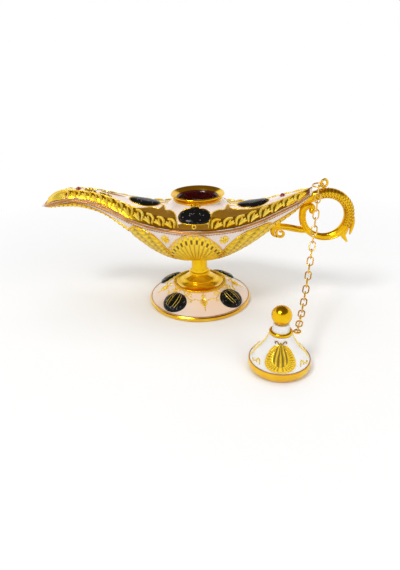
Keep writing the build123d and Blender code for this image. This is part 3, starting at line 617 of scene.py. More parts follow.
def length(name, default, low, high, about):
    """A length a user may change, in millimetres."""
    return FloatProperty(name=name, description=about, default=default, min=low, max=high)


def number(name, default, low, high, about):
    """A number of like parts a user may change."""
    return IntProperty(name=name, description=about, default=default, min=low, max=high)


def tilt(name, degrees, about):
    """An angle a user may change."""
    return FloatProperty(name=name, description=about, subtype="ANGLE", default=math.radians(degrees))


class LampFinish(PropertyGroup):
    """Colours of the lamp's finishes."""

    gilt: colour("Gilt", (0.94, 0.6, 0.015), "Bright gold of the ornament, stem and handle")
    gilt_deep: colour("Deep gilt", (0.82, 0.43, 0.006), "Darker drift in the gold")
    bright_gilt: colour("Bright gilt", (1.0, 0.67, 0.02), "Yellow gold of the fans and the lid's onions")
    # Painted highlight, in part: the raised lines' gold is paler than the gilt, so that it looks lit from
    # above
    pale_gilt_highlight: colour("Pale gilt", (0.97, 0.75, 0.12), "Light gold of the raised lines and leaf scrolls")
    panel: colour("Panel", (0.42, 0.2, 0.012), "Brown gold of the deck's panels")
    rose: colour("Rose gilt", (0.62, 0.3, 0.09), "Rose gold of the rim")
    wire: colour("Chain wire", (0.83, 0.55, 0.22), "Gold of the chain")
    white: colour("White enamel", (0.86, 0.76, 0.71), "Enamel of the deck and bowl")
    lid_white: colour("Lid enamel", (0.86, 0.84, 0.82), "Enamel of the lid")
    cream: colour("Cream enamel", (0.87, 0.7, 0.57), "Enamel of the foot")
    black: colour("Black enamel", (0.006, 0.006, 0.006), "Enamel of the medallions")
    # Painted shade: the dark red stands for the shadow inside the mouth
    inside: colour("Mouth", (0.06, 0.003, 0.003), "Dark red inside the mouth")
    stone: colour("Stone", (0.35, 0.004, 0.008), "Red stones on the ridge")


class LampOrnament(PropertyGroup):
    """Sizes of the raised ornament."""

    line: length("Line", 0.34, 0.1, 1, "Radius of the raised lines")
    fan_rise: length("Fan rise", 0.75, 0.1, 2, "Height of the fans' ribs")
    fan_ribs: number("Fan ribs", 19, 5, 40, "Ribs in the front fan")
    leaf_pitch: length("Leaf pitch", 7.0, 2, 12, "Spacing of the leaf scrolls")
    rope_pitch: length("Rope pitch", 1.6, 0.8, 4, "Spacing of the rope's turns")
    beads: number("Beads", 84, 20, 160, "Beads in the foot's ring")
    medallion_rise: length("Medallion rise", 1.5, 0.5, 3, "Height of the black medallions")


class LampStage(PropertyGroup):
    """Camera and light."""

    camera: FloatVectorProperty(name="Camera", description="Place of the camera", subtype="TRANSLATION",
                                unit="LENGTH", size=3, default=(0.02971, -0.30857, 0.16639))
    pitch: tilt("Pitch", 26.85, "Camera's tilt down")
    turn: tilt("Turn", 5.5, "Camera's turn about the upright")
    roll: tilt("Roll", -1.52, "Camera's roll")
    lens: FloatProperty(name="Lens", description="Focal length in millimetres on a 36 mm tall sensor",
                        default=31.27)
    key: FloatProperty(name="Key light", description="Power of the main soft light", subtype="POWER",
                       default=4.7)


def finishes():
    """The lamp's colours."""
    return bpy.context.scene.lamp_finish


def sizes():
    """The ornament's sizes."""
    return bpy.context.scene.lamp_ornament


def gilt_shades(paint):
    """Gilt in its several shades; the carved kind carries painted shade in its recesses, and the pale kind
    a painted highlight.
    """
    surface("gilt", paint.gilt, paint.gilt_deep, patch=60, bump=0.04, **POLISHED)
    shaded_carved_gilt(paint)
    # Painted highlight, in part: pale and half metal, so that the raised lines look lit from above
    surface("pale gilt with painted highlight", paint.pale_gilt_highlight, paint.gilt, metallic=0.55, smooth=0.2, rough=0.34, patch=140)
    surface("panel gilt", paint.panel, scaled(paint.panel, 0.8), metallic=0.5, smooth=0.16, rough=0.3,
            patch=120, bump=0.04)
    surface("rose gilt", paint.rose, scaled(paint.rose, 0.75), metallic=1.0, smooth=0.22, rough=0.36,
            patch=120)
    surface("chain wire", paint.wire, paint.gilt, metallic=1.0, smooth=0.2, rough=0.32, patch=200)


def shaded_carved_gilt(paint):
    """Gilt with painted shade: dark brown in the recesses and slits, where the mesh's own shade value is
    high.
    """
    tree, shader = surface("carved gilt with painted shade", paint.bright_gilt, paint.gilt, metallic=0.35, smooth=0.16,
                           rough=0.3, patch=60, bump=0.04)
    # Painted shade: the recesses darken towards brown by the mesh's own value
    groove_shade = add_node(tree, "Attribute", attribute_name="groove_shade").outputs["Fac"]
    lay_over(tree, shader.inputs["Base Color"], groove_shade, (*scaled(paint.panel, 0.22), 1))


def black_enamel(paint):
    """Black with its glitter as small pale flakes, painted bright to stand for the glints of the glitter.
    """
    tree, shader = surface("black enamel", paint.black, paint.black, metallic=0.0, smooth=0.06, rough=0.2)
    shader.inputs["Specular IOR Level"].default_value = 0.15
    # Painted glints: scattered pale flakes in the base colour, where the glitter would catch the light
    where = add_node(tree, "TexCoord").outputs["Object"]
    flakes = add_node(tree, "TexVoronoi", {"Vector": where, "Scale": 2000})
    pick = add_node(tree, "SeparateColor", {"Color": flakes.outputs["Color"]})
    glint_flakes = add_node(tree, "MapRange", {"Value": pick.outputs["Red"], "From Min": 0.97, "From Max": 1.0,
                                      "To Max": 0.5})
    lay_over(tree, shader.inputs["Base Color"], glint_flakes.outputs["Result"], GLINT_FLAKE)


def foot_enamel(paint):
    """Cream cone over a gilt band."""
    tree, shader = surface("foot enamel", paint.cream, scaled(paint.cream, 1.0, 0.93, 0.88), smooth=0.1,
                           rough=0.24, patch=40, **ENAMEL)
    band = maths(tree, "LESS_THAN", place_on_piece(tree)["Z"], FOOT_BAND_TOP)
    second_finish(tree, shader, band, paint.gilt, paint.gilt_deep, **POLISHED)


def lid_enamel(paint):
    """White bell over a gilt band."""
    tree, shader = surface("lid enamel", paint.lid_white, scaled(paint.lid_white, 0.95), smooth=0.08,
                           rough=0.2, patch=40, **ENAMEL)
    band = maths(tree, "LESS_THAN", place_on_piece(tree)["Z"], LID_BAND_TOP)
    second_finish(tree, shader, band, paint.gilt, paint.gilt_deep, metallic=1.0, smooth=0.14, rough=0.26)


def mouth_gilt_and_shade(paint):
    """Gilt collar, with painted shade in dark red down its throat, where the mouth lies in shadow."""
    tree, shader = surface("mouth gilt and shade", paint.gilt, paint.gilt_deep, metallic=1.0, smooth=0.12, rough=0.24,
                           patch=60)
    place = place_on_piece(tree)
    squares = [maths(tree, "MULTIPLY", place[axis], place[axis]) for axis in "XY"]
    radius = maths(tree, "SQRT", maths(tree, "ADD", *squares))
    climb = maths(tree, "SUBTRACT", place["Z"], FLARE_Z)
    flare = maths(tree, "ADD", maths(tree, "MULTIPLY", climb, FLARE_SLOPE), FLARE_RADIUS)
    within = maths(tree, "LESS_THAN", radius, maths(tree, "MAXIMUM", flare, THROAT_RADIUS))
    # Painted shade: dark red inside the throat and its flare, below the lip
    shaded_funnel = maths(tree, "MULTIPLY", within, maths(tree, "LESS_THAN", place["Z"], SHADE_BELOW))
    second_finish(tree, shader, shaded_funnel, paint.inside, scaled(paint.inside, 0.6), metallic=0.0, smooth=0.1,
                  rough=0.25)


class LAMP_OT_finishes(Operator):
    """Make the materials and give them to the cast and turned pieces"""

    bl_idname = "lamp.finishes"
    bl_label = "Finishes"

    def execute(self, context):
        """Build each material once, then give every CAD piece its own."""
        paint = finishes()
        gilt_shades(paint)
        surface("white enamel", paint.white, scaled(paint.white, 1.0, 0.95, 0.94), smooth=0.1, rough=0.22,
                patch=35, **ENAMEL)
        surface("plain steel", STEEL, DEEP_STEEL, metallic=1.0, smooth=0.28, rough=0.45)
        surface("stone", paint.stone, scaled(paint.stone, 0.5), metallic=0.0, smooth=0.04, rough=0.1,
                coat=1.0)
        black_enamel(paint)
        foot_enamel(paint)
        lid_enamel(paint)
        mouth_gilt_and_shade(paint)
        for node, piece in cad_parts.items():
            fitting = (finish for start, finish in NODE_FINISHES.items() if node.startswith(start))
            piece.data.materials.clear()
            piece.data.materials.append(bpy.data.materials[next(fitting, "gilt")])
        return {"FINISHED"}


# Ornament

def rim_band(side, u, v):
    """The band, from the deck over the moulding to the bowl."""
    return on_rim(RIM_FIRST + (RIM_LAST - RIM_FIRST) * u, BAND_FROM + BAND_SWEEP * v, side), BAND_RISE


def rim_rope(side):
    """Short slanting turns along the cord."""
    turns = []
    x = RIM_FIRST + ROPE_END
    while x < RIM_LAST - ROPE_END:
        path = []
        for step, share in ((-1, 0.5), (0, 0.8), (1, 0.5)):
            spot = below_rim(x + ROPE_REACH * step, ROPE_DROP - ROPE_RISE * step, side)
            path.append((raised(spot, 0.2), share))
        turns.append(path)
        x += sizes().rope_pitch
    return turns


class LAMP_OT_rim(Operator):
    """Rose gilt band, bead and cord along the rim, with a rope on the cord"""

    bl_idname = "lamp.rim"
    bl_label = "Rim and rope"

    def execute(self, context):
        """Run them along both sides."""
        bands, cords, turns = [], [], []
        stations = [RIM_FIRST + (RIM_LAST - RIM_FIRST) * i / RIM_STEPS for i in range(RIM_STEPS + 1)]
        for side in SIDES:
            bands.append(relief(RIM_STEPS, 14, RIM_WALL, rim_band, side))
            cords.append([(raised(on_rim(x, BEAD_ANGLE, side), 0.0), 1.0) for x in stations])
            cords.append([(raised(below_rim(x, ROPE_DROP, side), 0.0), CORD_SHARE) for x in stations])
            turns += rim_rope(side)
        sheet_piece("rim_band", "rose gilt", bands)
        line_piece("rim_bead", "rose gilt", cords, radius=0.45, sides=2)
        line_piece("rim_rope", "panel gilt", turns, radius=0.45)
        return {"FINISHED"}


def sloped(u, v, ends, top):
    """Share of a sheet's full height, which falls off steeply at both ends and at its top."""
    return min(1.0, (1 - v) * top, u * ends, (1 - u) * ends)


def fan_edge():
    """Places along the front fan's edge."""
    turns = [math.radians(a) for a in range(-FAN_SWEEP, FAN_SWEEP + 1, 4)]
    return [(FAN_EDGE_REACH * math.sin(t), FAN_MIDDLE + FAN_EDGE_TALL * math.cos(t)) for t in turns]


def front_fan(side, u, v):
    """A scallop shell with ribs from a hub over the stem, a slot at the hub and holes near its edge;
    painted shade darkens the low parts between the ribs, the slot and the holes.
    """
    turn = math.radians(-FAN_SWEEP + 2 * FAN_SWEEP * u)
    reach = 0.06 + 0.94 * v
    x = FAN_REACH * math.sin(turn) * reach
    degrees = FAN_SEAT + (FAN_MIDDLE - FAN_SEAT + FAN_TALL * math.cos(turn)) * reach
    rib = abs(math.cos(math.pi * sizes().fan_ribs * u))
    shell = 0.2 + 0.8 * rib * min(1.0, 2.2 * v)
    # Painted shade between the ribs; below, in the holes and in the slot as well
    groove_shade = 0.55 * (1 - rib) ** 2 * min(1.0, 4 * v)
    if FAN_HOLES[0] < v < FAN_HOLES[1]:
        shell, groove_shade = 0.55, (0.9 if rib > 0.86 else 0.0)
    if FAN_SLOT[0] < v < FAN_SLOT[1] and abs(u - 0.5) < 0.2:
        shell, groove_shade = 0.2, 0.9
    height = FAN_SINK + sloped(u, v, 30, 9) * sizes().fan_rise * shell
    return on_bowl(x, max(degrees, FAN_LOWEST), side), height, groove_shade


def side_fan(side, table, u, v):
    """A side fan from the keel up to its edge, with curved ribs and leaf notches, and painted shade in the
    low parts between them.
    """
    x = table[0][0] + (table[-1][0] - table[0][0]) * u
    degrees = 1.0 + (between(table, x) - 1.0) * v
    hub = math.copysign(FAN_HUB, x)
    climb = (degrees - 8) * 0.5
    rib = abs(math.cos(math.atan2(climb, abs(x - hub) + 0.5) * 17))
    leaf = abs(math.sin(math.hypot(climb, x - hub) * 0.95 + rib * 1.6))
    carved = 0.5 * rib + 0.5 * leaf
    height = FAN_SINK + sloped(u, v, 16, 8) * sizes().fan_rise * (0.1 + 1.3 * carved)
    # Painted shade: darker where the carving is low
    return on_bowl(x, degrees, side), height, (1 - carved) ** 1.4


def keel_band(side, table, u, v):
    """A rippled band along the keel."""
    x = table[0][0] + (table[-1][0] - table[0][0]) * u
    ripple = 0.5 + 0.5 * math.cos(x * 2.03)
    height = FAN_SINK + sloped(u, v, 40, 6) * (0.3 + 0.15 * ripple)
    return on_bowl(x, between(table, x) * v, side), height


class LAMP_OT_fans(Operator):
    """Ribbed gilt fans and keel bands on the bowl"""

    bl_idname = "lamp.fans"
    bl_label = "Bowl fans"

    def execute(self, context):
        """Front and back fans, four side fans and the keel bands."""
        sheets, edges, beads = [], [], []
        for side in SIDES:
            spot = partial(on_bowl, side=side)
            sheets.append(relief(228, 44, FAN_WALL, front_fan, side))
            edges.append(drawn(fan_edge(), 90, spot, height=0.35))
            for table in (SPOUT_FAN, TAIL_FAN):
                sheets.append(relief(130, 46, FAN_WALL, side_fan, side, table))
                edges.append(drawn(table, 60, spot, height=0.3))
            for table in (SPOUT_KEEL, TAIL_KEEL):
                sheets.append(relief(110, 14, KEEL_WALL, keel_band, side, table))
                edges.append(drawn(table, 50, spot, height=0.25))
                x = table[0][0] + 2
                while x < table[-1][0] - 1:
                    beads.append(dot(spot(x, between(table, x) - KEEL_BEAD_DROP), 0.42, 0.35))
                    x += KEEL_BEAD_PITCH
        sheet_piece("bowl_fans", "carved gilt with painted shade", sheets)
        line_piece("fan_edges", "gilt", edges, radius=0.42, sides=2)
        line_piece("fan_beads", "panel gilt", beads, radius=0.5)
        return {"FINISHED"}


class LAMP_OT_rosettes(Operator):
    """Small gilt flowers in the bowl's white corners"""

    bl_idname = "lamp.rosettes"
    bl_label = "Rosettes"

    def execute(self, context):
        """One flower in each white corner."""
        petals = []
        for side in SIDES:
            for x in (-ROSETTE_X, ROSETTE_X):
                for i in range(PETALS):
                    path = []
                    for reach, share in ((0.6, 0.6), (1.8, 1.25), (2.9, 0.8)):
                        across, up = polar(reach, 360 / PETALS * i)
                        spot = on_bowl(x + across, ROSETTE_ANGLE + 2.1 * up, side)
                        path.append((raised(spot, 0.15), share))
                    petals.append(path)
                petals.append(dot(on_bowl(x, ROSETTE_ANGLE, side), 0.5, 0.2))
        line_piece("rosettes", "pale gilt with painted highlight", petals, radius=0.58)
        return {"FINISHED"}


def seam(table, x):
    """Line between a plain panel and its leaf band, as a share from ridge to rim."""
    return max(between(table, x) + 0.03, between(LEAF_TOPS, abs(x)) - 0.04)


def panel_foot(x):
    """Lower edge of every panel, just inside the rim."""
    return PANEL_FOOT


def ridge_patch(x0, x1, wide, u, v):
    """A slim pointed patch along the ridge."""
    y = (2 * v - 1) * wide * math.sin(math.pi * max(u, 0.02))
    return DECK.under(x0 + (x1 - x0) * u, y), PANEL_RISE


def deck_panel(side, ends, upper, lower, u, v):
    """A panel between two edges, each a share from ridge to rim by x."""
    x = ends[0] + (ends[1] - ends[0]) * u
    spot = on_deck(x, upper(x) + (lower(x) - upper(x)) * v, side)
    return spot, PANEL_RISE * min(1.0, u * 40, (1 - u) * 40)


def panel_strip(side, u, v):
    """The short strip under the front medallion."""
    place = on_deck(STRIP_FROM[0] + STRIP_SIZE[0] * u, STRIP_FROM[1] + STRIP_SIZE[1] * v, side)
    return place, PANEL_RISE


def fine_lines(spot):
    """A small ring on the strip and a line to each side of the dome."""
    ring = []
    for a in range(0, 361, 30):
        across, up = polar(1, a)
        ring.append((RING_SIZE[0] * across, RING_SHARE + RING_SIZE[1] * up))
    lines = [drawn(ring, 24, spot, height=0.25)]
    for outer, inner in DOME_LINES:
        points = [(outer, 0.17), (0.5 * (outer + inner), 0.1), (inner, 0.1)]
        lines.append(drawn(points, 14, spot, height=0.15, taper=0.4))
    return lines


def scrolls(side):
    """Arched leaves in a row over the rim, from the spout to the middle and on to the tail."""
    paths = []
    for table, start, end, lean in LEAF_ROWS:
        count = round((end - start) / sizes().leaf_pitch)
        step = (end - start) / count
        for i in range(count):
            x0 = start + step * i
            middle = x0 + 0.5 * step
            top = max(between(table, middle), LEAF_HIGHEST)
            top = max(top + 0.06, between(LEAF_TOPS, abs(middle)))
            paths += leaf_strokes(partial(in_leaf, x0, step, top, lean, side))
    return paths


def in_leaf(x0, step, top, lean, side, along, up):
    """Deck point at shares of one leaf's step and height."""
    along = along if lean > 0 else 1 - along
    return on_deck(x0 + along * step, LEAF_FOOT + (top - LEAF_FOOT) * up, side)


def leaf_strokes(spot):
    """One bold arch with a fern of three strokes inside it."""
    paths = [drawn(LEAF_ARCH, 11, spot, height=0.3, taper=0.4, weight=2.0)]
    for across, up in LEAF_TIPS:
        stroke = [LEAF_ROOT, (0.5 * across + 0.3, 0.5 * up + 0.12), (across, up)]
        paths.append(drawn(stroke, 7, spot, height=0.25, taper=0.45, weight=1.5))
    return paths


class LAMP_OT_panels(Operator):
    """Gilt panels on the deck with raised edges and leaf scrolls"""

    bl_idname = "lamp.panels"
    bl_label = "Deck panels"

    def execute(self, context):
        """Panels, their edges and the leaf scrolls on both sides."""
        sheets, bands, tips, edges, leaves = [], [], [], [], []
        for side in SIDES:
            spot = partial(on_deck, side=side)
            tip = partial(deck_panel, side, TIP_ENDS, partial(between, SPOUT_PANEL), panel_foot)
            tips.append(relief(40, 16, PANEL_WALL, tip))
            for table, band_ends, plain_ends in PANELS:
                band = partial(deck_panel, side, band_ends, partial(seam, table), panel_foot)
                plain = partial(deck_panel, side, plain_ends, partial(between, table), partial(seam, table))
                bands.append(relief(150, 10, PANEL_WALL, band))
                sheets.append(relief(110, 10, PANEL_WALL, plain))
                edges.append(drawn(table, 130, spot, height=0.2))
            sheets.append(relief(24, 4, PANEL_WALL, panel_strip, side))
            edges += fine_lines(spot)
            leaves += scrolls(side)
        for patch in RIDGE_PATCHES:
            sheets.append(relief(30, 6, PATCH_WALL, ridge_patch, *patch))
        sheet_piece("spout_leaf", "pale gilt with painted highlight", tips)
        sheet_piece("leaf_bands", "gilt", bands)
        sheet_piece("deck_panels", "panel gilt", sheets)
        line_piece("panel_edges", "pale gilt with painted highlight", edges, radius=sizes().line, sides=2)
        line_piece("leaf_scrolls", "pale gilt with painted highlight", leaves, radius=sizes().line * LEAF_WEIGHT)
        return {"FINISHED"}


def on_ridge(x, a, b):
    """Deck point that lies a along and b across from x on the ridge."""
    return DECK.under(x + a, b)


def cloud_edge(turn):
    """Edge of a cloud at an angle."""
    climb = math.degrees(math.asin(max(-1.0, min(1.0, math.sin(turn)))))
    return Vector((math.cos(turn), math.sin(turn))) * between(CLOUD, climb)


def oval_edge(wide, high, turn):
    """Edge of an oval at an angle."""
    return Vector((wide * math.cos(turn), high * math.sin(turn)))


def bulge(spot, edge, rise, flutes, u, v):
    """A rounded boss on a surface, perhaps fluted along its height."""
    p = edge(2 * math.pi * u) * v
    round_off = math.sqrt(max(0.0, 1 - v ** 4))
    flute = 1 - flutes * abs(math.sin(math.pi * 3.5 * p.x / BOSS_SIZE[0])) * (1 - 0.4 * v)
    seat = spot(p.x, p.y)
    return seat, -BOSS_SINK + (rise + BOSS_SINK) * round_off * flute


def deck_boss(node, spot, edge, edges):
    """One deck medallion in place of its plain piece."""
    place = partial(bulge, spot, edge, sizes().medallion_rise, 0.0)
    boss = relief(72, 14, BOSS_WALL, place, closed=True)
    piece = sheet_piece(node + "_boss", "black enamel", [boss])
    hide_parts(node)
    rim = [edge(math.radians(a)) for a in range(0, 361, 6)]
    edges.append(drawn(rim, 90, spot, height=0.1))


def foot_bosses():
    """Four fluted ovals on the foot's cone; returns the veins over them."""
    bosses, veins = [], []
    slope = math.radians(BOSS_SLOPE)
    rise = sizes().medallion_rise * BOSS_RISE
    for i in range(FOOT_REPEATS):
        degrees = FOOT_FLOWER + 45 + 90 * i
        out = Vector((*polar(1, degrees), 0))
        along = Vector((-out.y, out.x, 0))
        up = Vector((0, 0, math.sin(slope))) - out * math.cos(slope)
        look = -(out * math.sin(slope) + Vector((0, 0, math.cos(slope))))
        seat, _ = on_foot(degrees, BOSS_RADIUS)
        spot = partial(FOOT.facing, seat, along, up, look, BOSS_SIGHT)
        place = partial(bulge, spot, partial(oval_edge, *BOSS_SIZE), rise, BOSS_FLUTES)
        bosses.append(relief(72, 14, BOSS_WALL, place, closed=True))
        veins += [vein(spot, rise, lean) for lean in VEIN_LEANS]
    piece = sheet_piece("foot_bosses", "black enamel", bosses)
    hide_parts("foot_medallions")
    return veins


def vein(spot, rise, lean):
    """One line up a foot boss, bowed to the side by its lean."""
    wide, high = BOSS_SIZE
    path = []
    for k in range(VEIN_STEPS + 1):
        b = high * (-0.6 + 1.35 * k / VEIN_STEPS)
        a = lean * wide * math.sqrt(max(0.0, 1 - (b / high) ** 2)) * 0.9
        far = Vector((a / wide, b / high)).length
        height = rise * math.sqrt(max(0.0, 1 - far ** 4)) * 0.9
        path.append((raised(spot(a, b), height), 0.5 + 0.5 * math.sin(math.pi * k / VEIN_STEPS)))
    return path


class LAMP_OT_medallions(Operator):
    """Bulging black medallions on the deck and the foot, with gilt edges and veins"""

    bl_idname = "lamp.medallions"
    bl_label = "Medallions"

    def execute(self, context):
        """Four on the deck and four on the foot."""
        edges = []
        slope = math.radians(CLOUD_SLOPE)
        for node, side in (("deck_medallion_front", FRONT), ("deck_medallion_back", BACK)):
            up = Vector((0, -side * math.cos(slope), math.sin(slope)))
            look = Vector((0, -side * math.sin(slope), -math.cos(slope)))
            seat, _ = on_ridge(0, 0, side * CLOUD_Y)
            spot = partial(DECK.facing, seat, ALONG, up, look, MEDALLION_SIGHT)
            deck_boss(node, spot, cloud_edge, edges)
        for node, x in RIDGE_OVALS.items():
            deck_boss(node, partial(on_ridge, x), partial(oval_edge, *OVAL_SIZE), edges)
        veins = foot_bosses()
        line_piece("medallion_edges", "gilt", edges, radius=0.36, sides=2)
        line_piece("medallion_veins", "pale gilt with painted highlight", veins, radius=0.17)
        return {"FINISHED"}


def turned(spot, middle, a, b):
    """Point on a round surface, a degrees on from a middle."""
    return spot(middle + a, b)


def bead_ring():
    """A torus whose wire swells at each bead."""
    low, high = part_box("bead_ring")
    radius, beads = BEAD_RING_RADIUS * MM, sizes().beads
    wire = (high.x - low.x) / 2 - radius
    middle = low.z + wire * 0.5
    fresh_start()
    bpy.ops.mesh.primitive_torus_add(major_radius=radius, minor_radius=wire, major_segments=beads * 6,
                                     minor_segments=10, location=(0, 0, middle))
    ring = bpy.context.object
    bpy.ops.object.transform_apply(location=True)
    for vert in ring.data.vertices:
        turn = math.atan2(vert.co.y, vert.co.x)
        core = Vector((radius * math.cos(turn), radius * math.sin(turn), middle))
        swell = 0.62 + 0.38 * abs(math.sin(turn * beads / 2)) ** 0.7
        vert.co = core + (vert.co - core) * swell
    finish_piece(ring, "beaded_ring", "gilt", "lamp", 80)
    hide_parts("bead_ring")


def flower(spot, thin, full):
    """A hanging flower with a swag and sprigs to each side."""
    thin.append(drawn(FLOWER_STALK, 5, spot, height=0.12))
    thin.append(drawn(FLOWER_DROP, 6, spot, height=0.12, taper=0.4))
    for bend in (-1, 0, 1):
        full.append(drawn(swung(FLOWER_CROWN, bend), 5, spot, height=0.15, taper=0.6))
        full.append(drawn(swung(FLOWER_PETAL, bend), 8, spot, height=0.3, taper=0.35))
    for way in (-1, 1):
        for points, count in ((FOOT_SWAG, 14), (FOOT_STEM, 8), (FOOT_SPRIG, 10)):
            thin.append(drawn(swung(points, way), count, spot, height=0.12, taper=0.5))
        for a, r in FOOT_LEAVES:
            leaf = [(a, r), (a + 1.6, r - 0.7), (a + 3.0, r - 0.9)]
            full.append(drawn(swung(leaf, way), 5, spot, height=0.08, taper=0.75))


class LAMP_OT_foot_ornament(Operator):
    """Beaded ring, flowers, swags and sprigs on the foot"""

    bl_idname = "lamp.foot_ornament"
    bl_label = "Foot ornament"

    def execute(self, context):
        """Beads first, then the pattern four times round."""
        bead_ring()
        thin, full = [], []
        for i in range(FOOT_REPEATS):
            flower(partial(turned, on_foot, FOOT_FLOWER + 90 * i), thin, full)
        edge = circle(partial(on_foot, radius=FOOT_LINE_RADIUS), 0.05)
        line_piece("foot_sprigs", "pale gilt with painted highlight", thin, radius=0.36)
        line_piece("foot_flowers", "pale gilt with painted highlight", full, radius=0.6)
        line_piece("foot_line", "rose gilt", [edge], radius=0.3)
        return {"FINISHED"}


def plate_edge(turn):
    """Edge of the lid's plate, a rounded oblong: degrees across and millimetres up."""
    across, up = math.cos(turn), math.sin(turn)
    return (math.copysign(PLATE_REACH * abs(across) ** 0.75, across),
            math.copysign(PLATE_RISE * abs(up) ** 0.85, up))


def lid_plate(spot, u, v):
    """A flat plate with a toothed border, with painted shade in the dips of its border."""
    turn = 2 * math.pi * u
    across, up = plate_edge(turn)
    seat = spot(across * v, PLATE_Z + up * v)
    tooth = max(0.0, math.cos(PLATE_TEETH * turn)) if 0.6 < v < 0.93 else 0.0
    height = 0.15 + 0.3 * (1 - v ** 6) - 0.16 * tooth - (0.3 if v > 0.99 else 0)
    return seat, height, 0.7 * tooth


def lid_onion(spot, u, v):
    """A fluted onion that narrows to its top, with painted shade in the furrows between its flutes."""
    across, up = math.cos(2 * math.pi * u), math.sin(2 * math.pi * u)
    neck = 1 - 0.62 * max(0.0, up) ** 2
    tall = ONION_TOP if up > 0 else ONION_FOOT
    seat = spot(ONION_REACH * across * v * neck, ONION_Z + tall * up * v)
    flute = abs(math.cos(math.pi * 2 * across * v))
    height = 0.3 + 1.3 * math.sqrt(max(0.0, 1 - v ** 3)) * (0.6 + 0.4 * flute)
    return seat, height, 0.85 * (1 - flute ** 3)


def lid_face(spot, plates, fine, beads, leaves):
    """An onion on its beaded plate, with a stem over it and a scroll to each side."""
    plates.append(relief(240, 16, LID_WALL, lid_plate, spot, closed=True))
    plates.append(relief(72, 18, LID_WALL, lid_onion, spot, closed=True))
    edge = [plate_edge(math.radians(a)) for a in range(0, 361, 8)]
    fine.append(drawn([(across, PLATE_Z + up) for across, up in edge], 70, spot, height=0.2))
    for i in range(PLATE_BEADS):
        across, up = plate_edge(math.radians(112 + 316 * i / (PLATE_BEADS - 1)))
        beads.append(dot(spot(BEAD_SHARE * across, PLATE_Z + BEAD_SHARE * up), 0.42, 0.4))
    for way in (-1, 1):
        leaves.append(drawn(swung(LID_STEM, way), 16, spot, height=0.25, taper=0.4))
        fine.append(drawn(swung(LID_SCROLL, way), 14, spot, height=0.15, taper=0.4, weight=1.5))
        fine.append(drawn(swung(LID_TAIL, way), 8, spot, height=0.15, taper=0.5, weight=1.5))


class LAMP_OT_lid_ornament(Operator):
    """Ribs, onions on toothed plates, and scrolls on the lid"""

    bl_idname = "lamp.lid_ornament"
    bl_label = "Lid ornament"

    def execute(self, context):
        """A face before and behind with a rib at each side."""
        plates, ribs, fine, beads, leaves = [], [], [], [], []
        for i in range(2):
            spot = partial(turned, on_lid, LID_FACE + 180 * i)
            lid_face(spot, plates, fine, beads, leaves)
            ribs.append(drawn(LID_RIB, 26, spot, height=0.05, taper=0.3))
        edge = circle(partial(on_lid, height=LID_LINE_Z), 0.05)
        sheet_piece("lid_onions", "carved gilt with painted shade", plates, "lid")
        line_piece("lid_ribs", "pale gilt with painted highlight", ribs, radius=0.5, sides=2, body="lid")
        line_piece("lid_scrolls", "pale gilt with painted highlight", fine, radius=0.27, body="lid")
        line_piece("lid_beads", "pale gilt with painted highlight", beads, radius=0.36, body="lid")
        line_piece("lid_leaves", "panel gilt", leaves, radius=0.34, body="lid")
        line_piece("lid_edge", "rose gilt", [edge], radius=0.35, body="lid")
        return {"FINISHED"}


def on_ring(degrees, radius):
    """X and z at an angle and a radius from the ring's middle."""
    along, up = polar(radius, degrees)
    return RING_MIDDLE[0] + along, RING_MIDDLE[1] + up


def in_middle(x, z):
    """A point on the lamp's upright middle plane."""
    return Vector((x, 0, z)), ACROSS


def scale_rows(spot):
    """Pointed scales in three rows down the ring."""
    paths = []
    for i in range(SCALES):
        for radius, lean, shift in SCALE_ROWS:
            angle = SCALE_START - SCALE_STEP * i + shift
            leaf = [on_ring(angle + lean, radius - SCALE_HALF), on_ring(angle, radius),
                    on_ring(angle + lean, radius + SCALE_HALF)]
            paths.append(drawn(leaf, 7, spot, height=0.02, taper=0.5))
    return paths


def handle_curls():
    """The volute and the leaves, which run along the middle plane."""
    volute = []
    for k in range(VOLUTE_STEPS):
        along, up = polar(VOLUTE_RADIUS - VOLUTE_SHRINK * k, 75 + 20 * k)
        volute.append((VOLUTE_MIDDLE[0] + along, VOLUTE_MIDDLE[1] + up))
    paths = [drawn(volute, 60, in_middle, height=0.0, taper=0.25)]
    for leaf in HANDLE_LEAVES:
        run = [on_ring(*p) for p in leaf]
        paths.append(drawn(run, 24, in_middle, height=0.0, taper=0.75, weight=1.5))
    return paths


class LAMP_OT_handle_ornament(Operator):
    """Ridges and scales on the handle, with the brace's volute and the leaves at its foot"""

    bl_idname = "lamp.handle_ornament"
    bl_label = "Handle ornament"

    def execute(self, context):
        """Ridges and scales on both sides, then the curls."""
        ridges, scales = [], []
        for side in SIDES:
            spot = partial(on_handle, side=side)
            for radius in RING_RIDGES:
                run = [on_ring(a, radius) for a in range(-190, -9, 6)]
                ridges.append(drawn(run, 80, spot, height=0.05, taper=0.3))
            for lift in (-BRACE_HALF, BRACE_HALF):
                arm = [(x, z + lift) for x, z in BRACE]
                ridges.append(drawn(arm, 26, spot, height=0.05, taper=0.4))
            scales += scale_rows(spot)
        line_piece("handle_curls", "gilt", handle_curls(), radius=0.95, sides=3)
        line_piece("handle_ridges", "gilt", ridges, radius=0.36, sides=2)
        line_piece("handle_scales", "panel gilt", scales, radius=0.3)
        return {"FINISHED"}


def under_lip(degrees):
    """Dome point under the lip at an angle."""
    return DECK.under(*polar(MOUTH_BEAD_RADIUS, degrees), MOUTH_BEAD_Z)


def on_dome(side, x, y):
    """Dome point at x, some way from the middle on one side."""
    return DECK.under(x, side * y, BUD_SIGHT)


